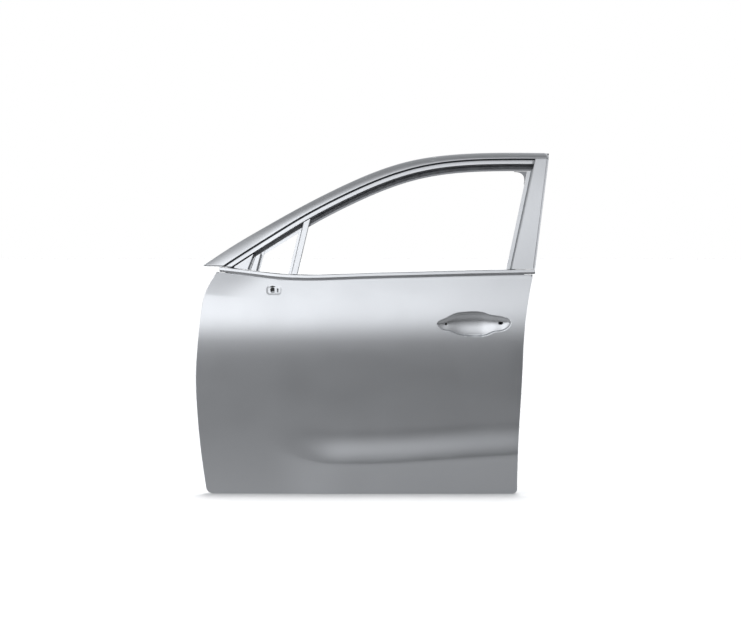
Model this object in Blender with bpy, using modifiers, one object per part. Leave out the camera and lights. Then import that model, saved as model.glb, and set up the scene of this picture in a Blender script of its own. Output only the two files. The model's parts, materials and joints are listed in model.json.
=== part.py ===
"""Front left door shell of a passenger car, as pressed and welded, before paint and trim.

Sizes are in metres. +X runs to the rear of the car, +Y into the car and +Z up.
The origin is the centre of the upper hinge pad, on the front shut face.
Sheets follow two reference surfaces: the skin below the belt and the window frame above it.
"""

import math

import bmesh
import bpy
import numpy as np
from mathutils import Vector

# Sheet metal
SKIN_SHEET = 0.0008
PANEL_SHEET = 0.0010
REINFORCEMENT_SHEET = 0.0016
HINGE_PLATE_SHEET = 0.0025
WELD_GAP = 0.0003
HEM_GAP = 0.0006
SEALER_GAP = 0.0008

# Outline of the skin in the side view
FRONT_EDGE = [  # height, place of the edge
    (-0.555, -0.0150), (-0.435, -0.0325), (-0.318, -0.0445), (-0.172, -0.0510),
    (-0.045, -0.0430), (0.040, -0.0330), (0.088, -0.0230), (0.171, 0.0220),
]
REAR_EDGE = [
    (-0.555, 0.9900), (-0.420, 0.9930), (-0.170, 1.0070), (0.010, 1.0180), (0.162, 1.0440),
]
BELT_LINE = [  # place, height of the skin's top
    (-0.030, 0.1630), (0.020, 0.1615), (0.059, 0.1575), (0.107, 0.1520), (0.205, 0.1405),
    (0.302, 0.1357), (0.448, 0.1396), (0.643, 0.1450), (0.838, 0.1500), (1.043, 0.1540),
    (1.100, 0.1550),
]
BOTTOM_EDGE = -0.555
FRONT_BOTTOM_RADIUS = 0.018
REAR_BOTTOM_RADIUS = 0.012
EDGE_FADE = 4  # how quickly the columns straighten away from the curved edges

# Section of the skin
WIDEST_DEPTH = -0.075
WIDEST_HEIGHT = -0.200
BODY_RADIUS = 4.5
PLAN_RADIUS = 12.0
PLAN_WIDEST_PLACE = 0.700
SHOULDER_SLOPE = 0.47
SHOULDER_HEIGHT = 0.008
SHOULDER_SOFTNESS = 0.035

# Upper crease, which runs back from the fender and dies out
UPPER_CREASE = [(-0.030, 0.0890), (0.100, 0.0775), (0.172, 0.0735), (1.100, 0.0735)]
UPPER_CREASE_SLOPE = 0.13
UPPER_CREASE_END = 0.210

# Lower crease, with the flare above it
LOWER_CREASE = [
    (-0.030, -0.3900), (0.153, -0.4000), (0.205, -0.4160), (0.286, -0.4420), (0.357, -0.4580),
    (0.432, -0.4620), (0.611, -0.4570), (0.773, -0.4460), (1.020, -0.4300),
]
FLARE_REACH = 0.012
FLARE_HEIGHT = 0.115
FLARE_BELOW = 0.015
FLARE_START = 0.150
FLARE_FULL = 0.400
TUCK_SLOPE = 0.10

# Edges of the skin
HEM_WIDTH = 0.010
HEM_TOP_SLOPE = 0.4
HEM_TOP_DROP = 0.005
FOLD_CLEARANCE = 0.0010
BELT_ROLL = 0.004
BELT_FLANGE_DEPTH = 0.0080
BELT_FLANGE_HEIGHT = 0.0110
BELT_FLANGE_MARGIN = 0.010

# Belt rail: the strip above the skin, the groove under it and the hidden stiffener
RAIL_GROOVE = 0.0075
RAIL_TOP = 0.0170
RAIL_LEAN = 0.0027
RAIL_START = 0.024
RAIL_LAP = 0.013
RAIL_TOP_DEPTH = 0.0110
STIFFENER_RIB_DEPTH = 0.0072
STIFFENER_FOOT = 0.060

# Door handle recess
HANDLE_PLACE = 0.8525
HANDLE_HEIGHT = -0.0055
HANDLE_OUTLINE = [
    (0.119, 0.004), (0.110, 0.018), (0.084, 0.0255), (0.054, 0.030), (0.022, 0.0395),
    (-0.022, 0.0400), (-0.060, 0.0350), (-0.092, 0.0200), (-0.114, 0.0100), (-0.121, -0.002),
    (-0.104, -0.0190), (-0.079, -0.0245), (-0.045, -0.0370), (-0.007, -0.0405),
    (0.032, -0.0385), (0.064, -0.0265), (0.092, -0.0220), (0.112, -0.0100),
]
HANDLE_MARGIN = 0.014
HANDLE_LIP = 0.0025
HANDLE_LIP_DEPTH = 0.0012
HANDLE_WALL = 0.0070
HANDLE_PAD_DEPTH = 0.0070
BOWL_LENGTH = 0.158
BOWL_WIDTH = 0.066
BOWL_DEPTH = 0.0275
FRONT_PIVOT_HOLE = 0.0085
REAR_PIVOT_HOLE_LENGTH = 0.0150
REAR_PIVOT_HOLE_WIDTH = 0.0095
PIVOT_SPACING = 0.177
PIVOT_OFFSET = -0.0035

# Door mirror pad
MIRROR_PLACE = 0.2015
MIRROR_HEIGHT = 0.1030
MIRROR_PAD_LENGTH = 0.052
MIRROR_PAD_WIDTH = 0.032
MIRROR_PAD_RADIUS = 0.012
MIRROR_PAD_DEPTH = 0.0025
MIRROR_PAD_WALL = 0.004
MIRROR_MARGIN = 0.014
MIRROR_HOLE = 0.015
MIRROR_HOLE_OFFSET = -0.004
MIRROR_SLOT_WIDTH = 0.004
MIRROR_SLOT_LENGTH = 0.013
MIRROR_SLOT_OFFSET = 0.012

# Inner panel
INNER_FACE = 0.075
SHUT_STEP = 0.009  # how far behind the skin the shut walls start
HINGE_WALL = 0.0
LATCH_WALL = 0.975
SILL_WALL = -0.530
PAN_RADIUS = 0.030
SILL_DRAFT = 0.012
WALL_FADE = 6  # how quickly the shut walls' points come level with the skin's
HINGE_WALL_TOP = 0.075
HINGE_WALL_LEAN = 0.50
LATCH_WALL_TOP = 0.030
LATCH_WALL_LEAN = 0.32
FLANGE_WIDTH = 0.011
BELT_RISE = 0.0165
TRIM_RIM = 0.024
TRIM_STEP = 0.010
TRIM_STEP_DEPTH = 0.008
ACCESS_LOW = (0.270, -0.335)
ACCESS_HIGH = (0.840, 0.030)
ACCESS_RADIUS = 0.060
SPEAKER_PLACE = 0.150
SPEAKER_HEIGHT = -0.360
SPEAKER_HOLE = 0.150
CLIP_HOLE = 0.008
DRAIN_LENGTH = 0.024
DRAIN_WIDTH = 0.006

# Window frame surface
FRAME_STEP = 0.003  # how far inboard of the skin the frame starts
FRAME_LEAN = 0.306
FRAME_RADIUS = 1.25
FRAME_GAP = 0.0004
FLOOR_GAP = 0.0008
END_GAP = 0.0015
FRAME_SHEET = 0.0010
HEADER_EDGE = [
    (-0.0276, 0.1836), (0.0680, 0.2470), (0.1674, 0.3055), (0.2714, 0.3640), (0.3848, 0.4225),
    (0.5148, 0.4810), (0.6347, 0.5200), (0.7586, 0.5405), (0.9360, 0.5490), (1.1200, 0.5475),
]
HEADER_BAND = [
    (-0.0276, 0.0370), (0.0580, 0.0370), (0.2860, 0.0285), (0.4500, 0.0265), (0.6430, 0.0235),
    (0.7600, 0.0205), (0.9400, 0.0190), (1.1200, 0.0178),
]
HEADER_REAR = 1.0970
HEADER_CORNER_RADIUS = 0.013
BAND_ROLL = 0.0095
SASH_WALL = 0.0220
GROOVE_WIDTH = 0.0050
GROOVE_DEPTH = 0.0065
FACE_WIDTH = 0.0130
FACE_DEPTH = 0.0010
FACE_RETURN = 0.0110
CHANNEL_SHEET = 0.0012
CHANNEL_TOP = 0.0030
CHANNEL_DEPTH = 0.0155
CHANNEL_RIB = 0.0025
CHANNEL_WIDTH = 0.0145
QUARTER_CHANNEL_WIDTH = 0.0115
LIP_REACH = 0.0410  # from the outer band's foot to the window opening
BOX_DEPTH = 0.0300
BOX_CHAMFER = 0.0080
BOX_LAP = 0.0120
FLANGE_REACH = 0.0220

# Rear pillar of the frame
PILLAR_TOP_EDGE = (1.0970, 0.5300)
PILLAR_BOTTOM_EDGE = (1.0495, 0.1700)
PILLAR_WIDTH_TOP = 0.0440
PILLAR_WIDTH_BOTTOM = 0.0755
PILLAR_SEAM = 0.0008
PILLAR_EDGE_WIDTH = 0.0060
PILLAR_SLOT = 0.0055
PILLAR_LIP = 0.0120
CORNER_RADIUS = 0.042
GUSSET_SHEET = 0.0020
GUSSET_TIP = 0.0015

# Front corner of the frame, and the quarter window beside it
SLOT_EDGE = [(0.1143, 0.1690), (0.1325, 0.2160)]
POST_LEFT = [(0.1238, 0.1690), (0.1420, 0.2160)]
POST_RIGHT = [(0.1456, 0.1690), (0.1577, 0.2160)]
QUARTER_FRONT = [(0.1550, 0.1690), (0.1673, 0.2160)]
CORNER_TIP = 0.072
CORNER_SEAM = 0.0040
CORNER_DEPTH = 0.0015
CORNER_PLATE_DEPTH = 0.0159

# Division bar between the drop glass and the quarter glass
BAR_LINE = [(0.2690, 0.1625), (0.2965, 0.2795)]
BAR_WIDTH = 0.0210
BAR_FLANGE = 0.0080
GUIDE_LENGTH = 0.300
GUIDE_OUTER_LEG = 0.0096
GUIDE_INNER_LEG = 0.0168
GUIDE_REACH = 0.0120
GUIDE_PLUG = 0.030
REAR_GUIDE_LINE = [(0.9735, 0.1755), (1.0355, 0.4560)]
REAR_GUIDE_LENGTH = 0.340
LOWER_SASH_OUTER = 0.0190
LOWER_SASH_INNER = 0.0255
LOWER_SASH_FRONT = 0.0300
LOWER_SASH_WIDTH = 0.0260
LOWER_SASH_LENGTH = 0.220

# Inner belt stiffener
BELT_STIFFENER_DEPTH = 0.0570
BELT_STIFFENER_HEIGHT = 0.070
BELT_STIFFENER_FRONT = 0.140
BELT_STIFFENER_REAR = 0.925

# Hinge, check strap and latch
HINGE_SPACING = 0.370
HINGE_PAD_HEIGHT = 0.090
HINGE_PAD_DEPTH = 0.056
HINGE_BOLT_SPACING = 0.056
HINGE_BOLT_HOLE = 0.0110
HINGE_NUT_DIAMETER = 0.0200
HINGE_NUT_HEIGHT = 0.0090
HINGE_NUT_BORE = 0.0080
CHECK_HEIGHT = -0.185
CHECK_PLATE_HEIGHT = 0.090
CHECK_PLATE_DEPTH = 0.050
CHECK_SLOT_HEIGHT = 0.030
CHECK_SLOT_DEPTH = 0.020
CHECK_BOLT_SPACING = 0.056
CHECK_BOLT_HOLE = 0.0070
CHECK_NUT_DIAMETER = 0.0140
CHECK_NUT_HEIGHT = 0.0060
CHECK_NUT_BORE = 0.0060
LATCH_HEIGHT = -0.090
LATCH_DEPTH = 0.014
LATCH_PLATE_HEIGHT = 0.130
LATCH_PLATE_DEPTH = 0.076
LATCH_SLOT_HEIGHT = 0.022
LATCH_SLOT_REACH = 0.044
LATCH_SCREW_HOLE = 0.0070
LATCH_SCREW_SPACING = 0.060
NUT_GAP = 0.0003

# Side impact beam
BEAM_DIAMETER = 0.030
BEAM_WALL = 0.0022
BEAM_SKIN_GAP = 0.0060
BEAM_FRONT_HEIGHT = -0.272
BEAM_REAR_HEIGHT = -0.330
BEAM_END_GAP = 0.012
BRACKET_LENGTH = 0.085
BRACKET_WING = 0.022
BRACKET_FLANGE = 0.018
PAD_LENGTH = 0.045
PAD_PLACES = (0.250, 0.500, 0.750)

# Plates behind the handle recess and the mirror pad
BACKING_GAP = 0.0012
HANDLE_PLATE_FRONT = 0.722
HANDLE_PLATE_REAR = 0.962
HANDLE_PLATE_WIDTH = 0.116
HANDLE_PLATE_DEPTH = 0.0092
HANDLE_WINDOW_LENGTH = 0.163
HANDLE_WINDOW_WIDTH = 0.082
MIRROR_PLATE_LENGTH = 0.084
MIRROR_PLATE_WIDTH = 0.062
MIRROR_PLATE_RIM = 0.007
MIRROR_PLATE_DEPTH = 0.0046

TOOL = 0.050  # how far a cutter runs past the sheet that it cuts
SMALL_HOLE = 0.014  # holes up to this size have fewer sides

# Finishes: colour, roughness, metallic
STEEL = (0.62, 0.64, 0.67, 1.0), 0.35, 0.9
DARK_STEEL = (0.06, 0.06, 0.07, 1.0), 0.5, 0.4
RUBBER = (0.05, 0.05, 0.055, 1.0), 0.6, 0.0
SEALER = (0.12, 0.11, 0.10, 1.0), 0.8, 0.0


def clear_scene():
    """Removes every object of the open file."""
    for obj in list(bpy.data.objects):
        bpy.data.objects.remove(obj)


def natural_spline(knots):
    """A smooth curve through (place, value) knots, straight past its ends."""
    places = np.array([k[0] for k in knots])
    values = np.array([k[1] for k in knots])
    steps = np.diff(places)
    rises = np.diff(values) / steps
    count = len(knots)
    system = np.eye(count)
    right = np.zeros(count)
    for i in range(1, count - 1):
        system[i, i - 1 : i + 2] = steps[i - 1], 2 * (steps[i - 1] + steps[i]), steps[i]
        right[i] = 6 * (rises[i] - rises[i - 1])
    bends = np.linalg.solve(system, right)
    first = rises[0] - steps[0] * bends[1] / 6
    last = rises[-1] + steps[-1] * bends[-2] / 6

    def value(place):
        if place <= places[0]:
            return float(values[0] + first * (place - places[0]))
        if place >= places[-1]:
            return float(values[-1] + last * (place - places[-1]))
        i = int(np.searchsorted(places, place)) - 1
        a = (places[i + 1] - place) / steps[i]
        b = 1 - a
        curve = ((a**3 - a) * bends[i] + (b**3 - b) * bends[i + 1]) * steps[i] ** 2 / 6
        return float(a * values[i] + b * values[i + 1] + curve)

    return value


def blend(t):
    """Runs smoothly from 0 to 1 as t does."""
    t = min(1.0, max(0.0, t))
    return t * t * t * (t * (6 * t - 15) + 10)


def mix(a, b, t):
    return a + (b - a) * t


def spread(a, b, count):
    """count + 1 evenly spaced values from a to b."""
    return [mix(a, b, i / count) for i in range(count + 1)]


front_curve = natural_spline(FRONT_EDGE)
rear_curve = natural_spline(REAR_EDGE)
belt_height = natural_spline(BELT_LINE)
upper_crease = natural_spline(UPPER_CREASE)
lower_crease = natural_spline(LOWER_CREASE)
header_height = natural_spline(HEADER_EDGE)
header_band = natural_spline(HEADER_BAND)


def corner_cut(height, radius):
    """How far a round corner at the bottom edge moves the side edge in."""
    rest = radius - (height - BOTTOM_EDGE)
    return radius - math.sqrt(max(0.0, radius**2 - rest**2)) if rest > 0 else 0.0


def front_edge(height):
    return front_curve(height) + corner_cut(height, FRONT_BOTTOM_RADIUS)


def rear_edge(height):
    return rear_curve(height) - corner_cut(height, REAR_BOTTOM_RADIUS)


def skin_depth(x, z):
    """The Y of the skin's outer face."""
    y = WIDEST_DEPTH + (z - WIDEST_HEIGHT) ** 2 / (2 * BODY_RADIUS)
    y += (x - PLAN_WIDEST_PLACE) ** 2 / (2 * PLAN_RADIUS)
    rise = (z - SHOULDER_HEIGHT) / SHOULDER_SOFTNESS
    y += SHOULDER_SLOPE * SHOULDER_SOFTNESS * math.log1p(math.exp(min(rise, 60)))
    above_upper = max(0.0, z - upper_crease(x))
    y += UPPER_CREASE_SLOPE * above_upper * (1 - blend((x - front_edge(z)) / UPPER_CREASE_END))
    strength = blend((x - FLARE_START) / (FLARE_FULL - FLARE_START))
    above_lower = z - lower_crease(x)
    whole = FLARE_HEIGHT + FLARE_BELOW
    y -= strength * FLARE_REACH * blend((FLARE_HEIGHT - max(0.0, above_lower)) / whole)
    y += strength * TUCK_SLOPE * max(0.0, -above_lower)
    return y


def frame_depth(x, z):
    """The Y of the outer face of the window frame, which runs on below the belt as the glass does."""
    belt = belt_height(x)
    rise = z - belt
    return skin_depth(x, belt) + FRAME_STEP + FRAME_LEAN * rise + rise**2 / (2 * FRAME_RADIUS)


def off_surface(surface, x, z, depth):
    """A point that lies depth behind a reference surface, measured square to it."""
    probe = 0.002
    along = (surface(x + probe, z) - surface(x - probe, z)) / (2 * probe)
    up = (surface(x, z + probe) - surface(x, z - probe)) / (2 * probe)
    return Vector((x, surface(x, z) + depth * math.sqrt(1 + along**2 + up**2), z))


def on_skin(x, z, depth=0.0):
    return off_surface(skin_depth, x, z, depth)


def on_frame(x, z, depth=0.0):
    return off_surface(frame_depth, x, z, depth)


def material(name, finish):
    """A surface for one piece, from a finish given as (colour, roughness, metallic)."""
    colour, roughness, metallic = finish
    made = bpy.data.materials.new(name)
    made.use_nodes = True
    shader = made.node_tree.nodes["Principled BSDF"]
    shader.inputs["Base Color"].default_value = colour
    shader.inputs["Roughness"].default_value = roughness
    shader.inputs["Metallic"].default_value = metallic
    made.diffuse_color = colour
    return made


def new_collection(name, shown=True):
    made = bpy.data.collections.new(name)
    made.hide_render = not shown
    bpy.context.scene.collection.children.link(made)
    return made


def add_object(name, data, collection, finish):
    obj = bpy.data.objects.new(name, data)
    collection.objects.link(obj)
    data.materials.append(material(name, finish))
    return obj


def mesh_object(name, shape, kit, finish=None):
    """Turns a bmesh into an object with smooth faces and sharp folds."""
    data = bpy.data.meshes.new(name)
    shape.to_mesh(data)
    shape.free()
    data.shade_smooth()
    data.set_sharp_from_angle(angle=math.radians(35))
    return add_object(name, data, kit["parts"], finish or STEEL)


def thicken(obj, thickness):
    """Makes a closed solid of an open sheet. What is drawn is the face that shows."""
    solidify = obj.modifiers.new("sheet", "SOLIDIFY")
    solidify.thickness = thickness
    solidify.offset = -1
    return obj


def join_loops(shape, first, second, closed=False):
    """Faces between two rows of as many vertices."""
    count = len(first)
    for i in range(count if closed else count - 1):
        j = (i + 1) % count
        shape.faces.new((first[i], first[j], second[j], second[i]))


def sheet_from_rows(name, rows, thickness, kit, finish=None):
    """A bent sheet through rows of points."""
    shape = bmesh.new()
    lines = [[shape.verts.new(p) for p in row] for row in rows]
    for first, second in zip(lines, lines[1:]):
        join_loops(shape, first, second)
    return thicken(mesh_object(name, shape, kit, finish), thickness)


def face_outwards(obj, direction):
    """Turns the sheet over if its faces, taken together, don't point along direction."""
    total = sum((p.normal * p.area for p in obj.data.polygons), Vector())
    if total.dot(Vector(direction)) < 0:
        obj.data.flip_normals()
    return obj


def cutter(name, shape_maker, kit):
    """Runs shape_maker, which adds one object, and keeps that object out of the render."""
    shape_maker()
    obj = bpy.context.object
    obj.name = name
    for held in list(obj.users_collection):
        held.objects.unlink(obj)
    kit["cutters"].objects.link(obj)
    obj.hide_render = True
    obj.display_type = "WIRE"
    return obj


def cut(obj, tool):
    boolean = obj.modifiers.new(tool.name, "BOOLEAN")
    boolean.operation = "DIFFERENCE"
    boolean.solver = "EXACT"
    boolean.object = tool


def apply_scale(obj):
    obj.data.transform(obj.matrix_basis)
    obj.matrix_basis.identity()


def round_tool(name, centre, axis, diameter, reach, kit, stretch=(1, 1, 1)):
    """A round or oval cutter along one axis."""
    turn = {"X": (0, math.pi / 2, 0), "Y": (math.pi / 2, 0, 0), "Z": (0, 0, 0)}[axis]

    def add():
        bpy.ops.mesh.primitive_cylinder_add(
            vertices=24 if diameter > SMALL_HOLE else 12, radius=diameter / 2, depth=2 * reach,
            rotation=turn,
        )
        made = bpy.context.object
        apply_scale(made)
        made.scale = stretch
        apply_scale(made)
        made.location = centre

    return cutter(name, add, kit)


def box_tool(name, low, high, kit):
    low, high = Vector(low), Vector(high)

    def add():
        bpy.ops.mesh.primitive_cube_add(size=1)
        made = bpy.context.object
        made.scale = high - low
        apply_scale(made)
        made.location = (low + high) / 2

    return cutter(name, add, kit)


def below_belt(points, drop):
    """Lowers the two ends of a border line, so that they pass under the skin's rolled top."""
    (x0, z0), (x1, z1) = points[0], points[-1]
    return [(x0, z0 - drop)] + points[1:-1] + [(x1, z1 - drop)]


def offset_line(points, inset, closed=False):
    """Moves a line in the side view to its left by inset, with mitred corners."""
    count = len(points)
    moved = []
    for i, point in enumerate(points):
        before = points[i - 1] if (i or closed) else None
        after = points[(i + 1) % count] if (i < count - 1 or closed) else None
        normals = []
        for a, b in ((before, point), (point, after)):
            if a is None or b is None:
                continue
            run = Vector((b[0] - a[0], b[1] - a[1]))
            if run.length > 1e-9:
                run.normalize()
                normals.append(Vector((-run.y, run.x)))
        mean = sum(normals, Vector((0, 0)))
        mean.normalize()
        share = inset / max(0.5, mean.dot(normals[0]))
        moved.append((point[0] + mean.x * share, point[1] + mean.y * share))
    return moved


def closed_spline(points, samples):
    """Points along a smooth closed curve."""
    count = len(points)
    made = []
    for i in range(count):
        p0, p1, p2, p3 = (np.array(points[(i + k) % count]) for k in (-1, 0, 1, 2))
        for t in np.linspace(0, 1, samples, endpoint=False):
            made.append(
                0.5 * (2 * p1 + (p2 - p0) * t + (2 * p0 - 5 * p1 + 4 * p2 - p3) * t**2
                       + (3 * p1 - p0 - 3 * p2 + p3) * t**3)
            )
    return made


def at_angles(outline, angles, half_length, half_width):
    """The points of a closed outline at these angles, as seen from its middle."""
    seen = np.array([math.atan2(p[1] / half_width, p[0] / half_length) for p in outline])
    order = np.argsort(seen)
    seen = seen[order]
    xs = np.array([outline[i][0] for i in order])
    zs = np.array([outline[i][1] for i in order])
    turn = 2 * math.pi
    seen = np.concatenate([seen - turn, seen, seen + turn])
    xs, zs = np.tile(xs, 3), np.tile(zs, 3)
    return [(float(np.interp(a, seen, xs)), float(np.interp(a, seen, zs))) for a in angles]


def rounded_rectangle(length, width, radius, steps=8):
    """Corners of a rounded rectangle about its middle, anticlockwise."""
    made = []
    for turn, (sx, sz) in enumerate(((1, 1), (-1, 1), (-1, -1), (1, -1))):
        middle = (sx * (length / 2 - radius), sz * (width / 2 - radius))
        for k in range(steps + 1):
            angle = math.pi / 2 * (turn + k / steps)
            made.append(
                (middle[0] + radius * math.cos(angle), middle[1] + radius * math.sin(angle))
            )
    return made


class SkinGrid:
    """Where the columns and rows of the skin lie, and which cells its two pressed hollows take."""

    def __init__(self):
        mirror = MIRROR_PAD_LENGTH / 2 + MIRROR_MARGIN
        half = max(abs(p[0]) for p in HANDLE_OUTLINE) + HANDLE_MARGIN
        tall = max(abs(p[1]) for p in HANDLE_OUTLINE) + HANDLE_MARGIN
        self.first = front_curve(MIRROR_HEIGHT)
        self.last = rear_curve(HANDLE_HEIGHT)
        runs = [
            (self.first, MIRROR_PLACE - mirror, 4),
            (MIRROR_PLACE - mirror, MIRROR_PLACE + mirror, 5),
            (MIRROR_PLACE + mirror, HANDLE_PLACE - half, 8),
            (HANDLE_PLACE - half, HANDLE_PLACE + half, 14),
            (HANDLE_PLACE + half, self.last, 1),
        ]
        self.columns = [self.first]
        marks = [0]
        for start, end, count in runs:
            self.columns += spread(start, end, count)[1:]
            marks.append(len(self.columns) - 1)
        self.mirror_columns = marks[1], marks[2]
        self.handle_columns = marks[3], marks[4]
        self.mirror_top = MIRROR_HEIGHT + MIRROR_PAD_WIDTH / 2 + MIRROR_MARGIN - 0.002
        self.handle_top = HANDLE_HEIGHT + tall
        self.handle_bottom = HANDLE_HEIGHT - tall
        self.rows = [self.heights(x) for x in self.columns]

    def heights(self, x):
        """The heights of the rows at one column, from the belt down."""
        belt = belt_height(x) - BELT_ROLL
        corner = BOTTOM_EDGE + FRONT_BOTTOM_RADIUS
        made = [belt] + spread(self.mirror_top, upper_crease(x), 3)
        self.mirror_rows = 1, len(made) - 1
        self.handle_rows = len(made), len(made) + 6
        made += spread(self.handle_top, self.handle_bottom, 6)
        flare_top = lower_crease(x) + FLARE_HEIGHT
        made += spread(self.handle_bottom, flare_top, 4)[1:]
        made += spread(flare_top, lower_crease(x), 5)[1:]
        made += spread(lower_crease(x), corner, 3)[1:]
        made += [corner - FRONT_BOTTOM_RADIUS * s for s in (0.5, 0.85, 1.0)]
        return made

    def place(self, column, height):
        """The X of a column at a height: columns bend to meet the door's curved edges."""
        x = self.columns[column]
        share = (x - self.first) / (self.last - self.first)
        x += (front_edge(height) - self.first) * (1 - share) ** EDGE_FADE
        return x + (rear_edge(height) - self.last) * share**EDGE_FADE

    def point(self, column, row):
        height = self.rows[column][row]
        return self.place(column, height), height

    def border(self):
        """The front, bottom and rear edge as one line in the side view, from belt to belt."""
        columns, rows = len(self.columns), len(self.rows[0])
        cells = [(0, r) for r in range(rows)]
        cells += [(c, rows - 1) for c in range(1, columns)]
        cells += [(columns - 1, r) for r in range(rows - 2, -1, -1)]
        return cells, [self.point(c, r) for c, r in cells]


def hollow_ring(corners, grid_cells):
    """The grid vertices round a block of cells, anticlockwise as seen from outside the car."""
    (left, right), (top, bottom) = corners
    ring = [(c, top) for c in range(right, left, -1)]
    ring += [(left, r) for r in range(top, bottom)]
    ring += [(c, bottom) for c in range(left, right)]
    ring += [(right, r) for r in range(bottom, top, -1)]
    return [grid_cells[cell] for cell in ring]


def close_with_fan(shape, loop):
    """Closes a loop with triangles to its middle."""
    middle = shape.verts.new(sum((v.co for v in loop), Vector()) / len(loop))
    for i, vertex in enumerate(loop):
        shape.faces.new((vertex, loop[(i + 1) % len(loop)], middle))


def press_hollow(shape, ring, centre, levels):
    """Joins a ring of the skin to nested loops that step into the door, and closes the last one.
    Each level is the loop's points about the centre, with the depth of each."""
    previous = ring
    for points, depths in levels:
        loop = [
            shape.verts.new(on_skin(centre[0] + p[0], centre[1] + p[1], depth))
            for p, depth in zip(points, depths)
        ]
        join_loops(shape, previous, loop, closed=True)
        previous = loop
    close_with_fan(shape, previous)


def handle_levels(angles):
    """The handle recess: a rolled edge, a wall, two end pads and the finger bowl between them."""
    half_length = max(p[0] for p in HANDLE_OUTLINE)
    half_width = max(p[1] for p in HANDLE_OUTLINE)
    outline = at_angles(closed_spline(HANDLE_OUTLINE, 12), angles, half_length, half_width)
    count = len(angles)
    levels = [(outline, [0.0] * count)]
    for inset, depth in ((HANDLE_LIP, HANDLE_LIP_DEPTH), (HANDLE_WALL, HANDLE_PAD_DEPTH)):
        levels.append((offset_line(outline, inset, closed=True), [depth] * count))
    for size in (1.0, 0.78, 0.42):
        loop = [
            (BOWL_LENGTH / 2 * size * math.cos(a), BOWL_WIDTH / 2 * size * math.sin(a))
            for a in angles
        ]
        depth = mix(HANDLE_PAD_DEPTH, BOWL_DEPTH, (1 - size**2) ** 0.8)
        levels.append((loop, [depth] * count))
    return levels


def mirror_levels(angles):
    """The mirror pad: a shallow flat hollow with round corners."""
    outline = rounded_rectangle(MIRROR_PAD_LENGTH, MIRROR_PAD_WIDTH, MIRROR_PAD_RADIUS)
    outline = at_angles(outline, angles, MIRROR_PAD_LENGTH / 2, MIRROR_PAD_WIDTH / 2)
    floor = offset_line(outline, MIRROR_PAD_WALL, closed=True)
    count = len(angles)
    return [(outline, [0.0] * count), (floor, [MIRROR_PAD_DEPTH] * count)]


def ring_angles(ring, centre, half_length, half_width):
    """The angle of each ring vertex about the centre, in a frame where the hollow is as tall as wide."""
    return [
        math.atan2((v.co.z - centre[1]) / half_width, (v.co.x - centre[0]) / half_length)
        for v in ring
    ]


def in_block(column, row, block):
    (left, right), (top, bottom) = block
    return left <= column < right and top <= row < bottom


def hem_depth():
    """How far the folded hem's far side lies behind the skin's outer face."""
    return 2 * SKIN_SHEET + PANEL_SHEET + 2 * HEM_GAP


def belt_return(x):
    """The skin's rolled top and the flange behind it, as (height, depth) from the roll's start."""
    top = belt_height(x)
    return [
        (top - BELT_ROLL * 0.45, BELT_ROLL * 0.14),
        (top, BELT_ROLL * 0.80),
        (top, BELT_FLANGE_DEPTH - 0.001),
        (top - 0.001, BELT_FLANGE_DEPTH),
        (top - BELT_FLANGE_HEIGHT, BELT_FLANGE_DEPTH),
    ]


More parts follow.
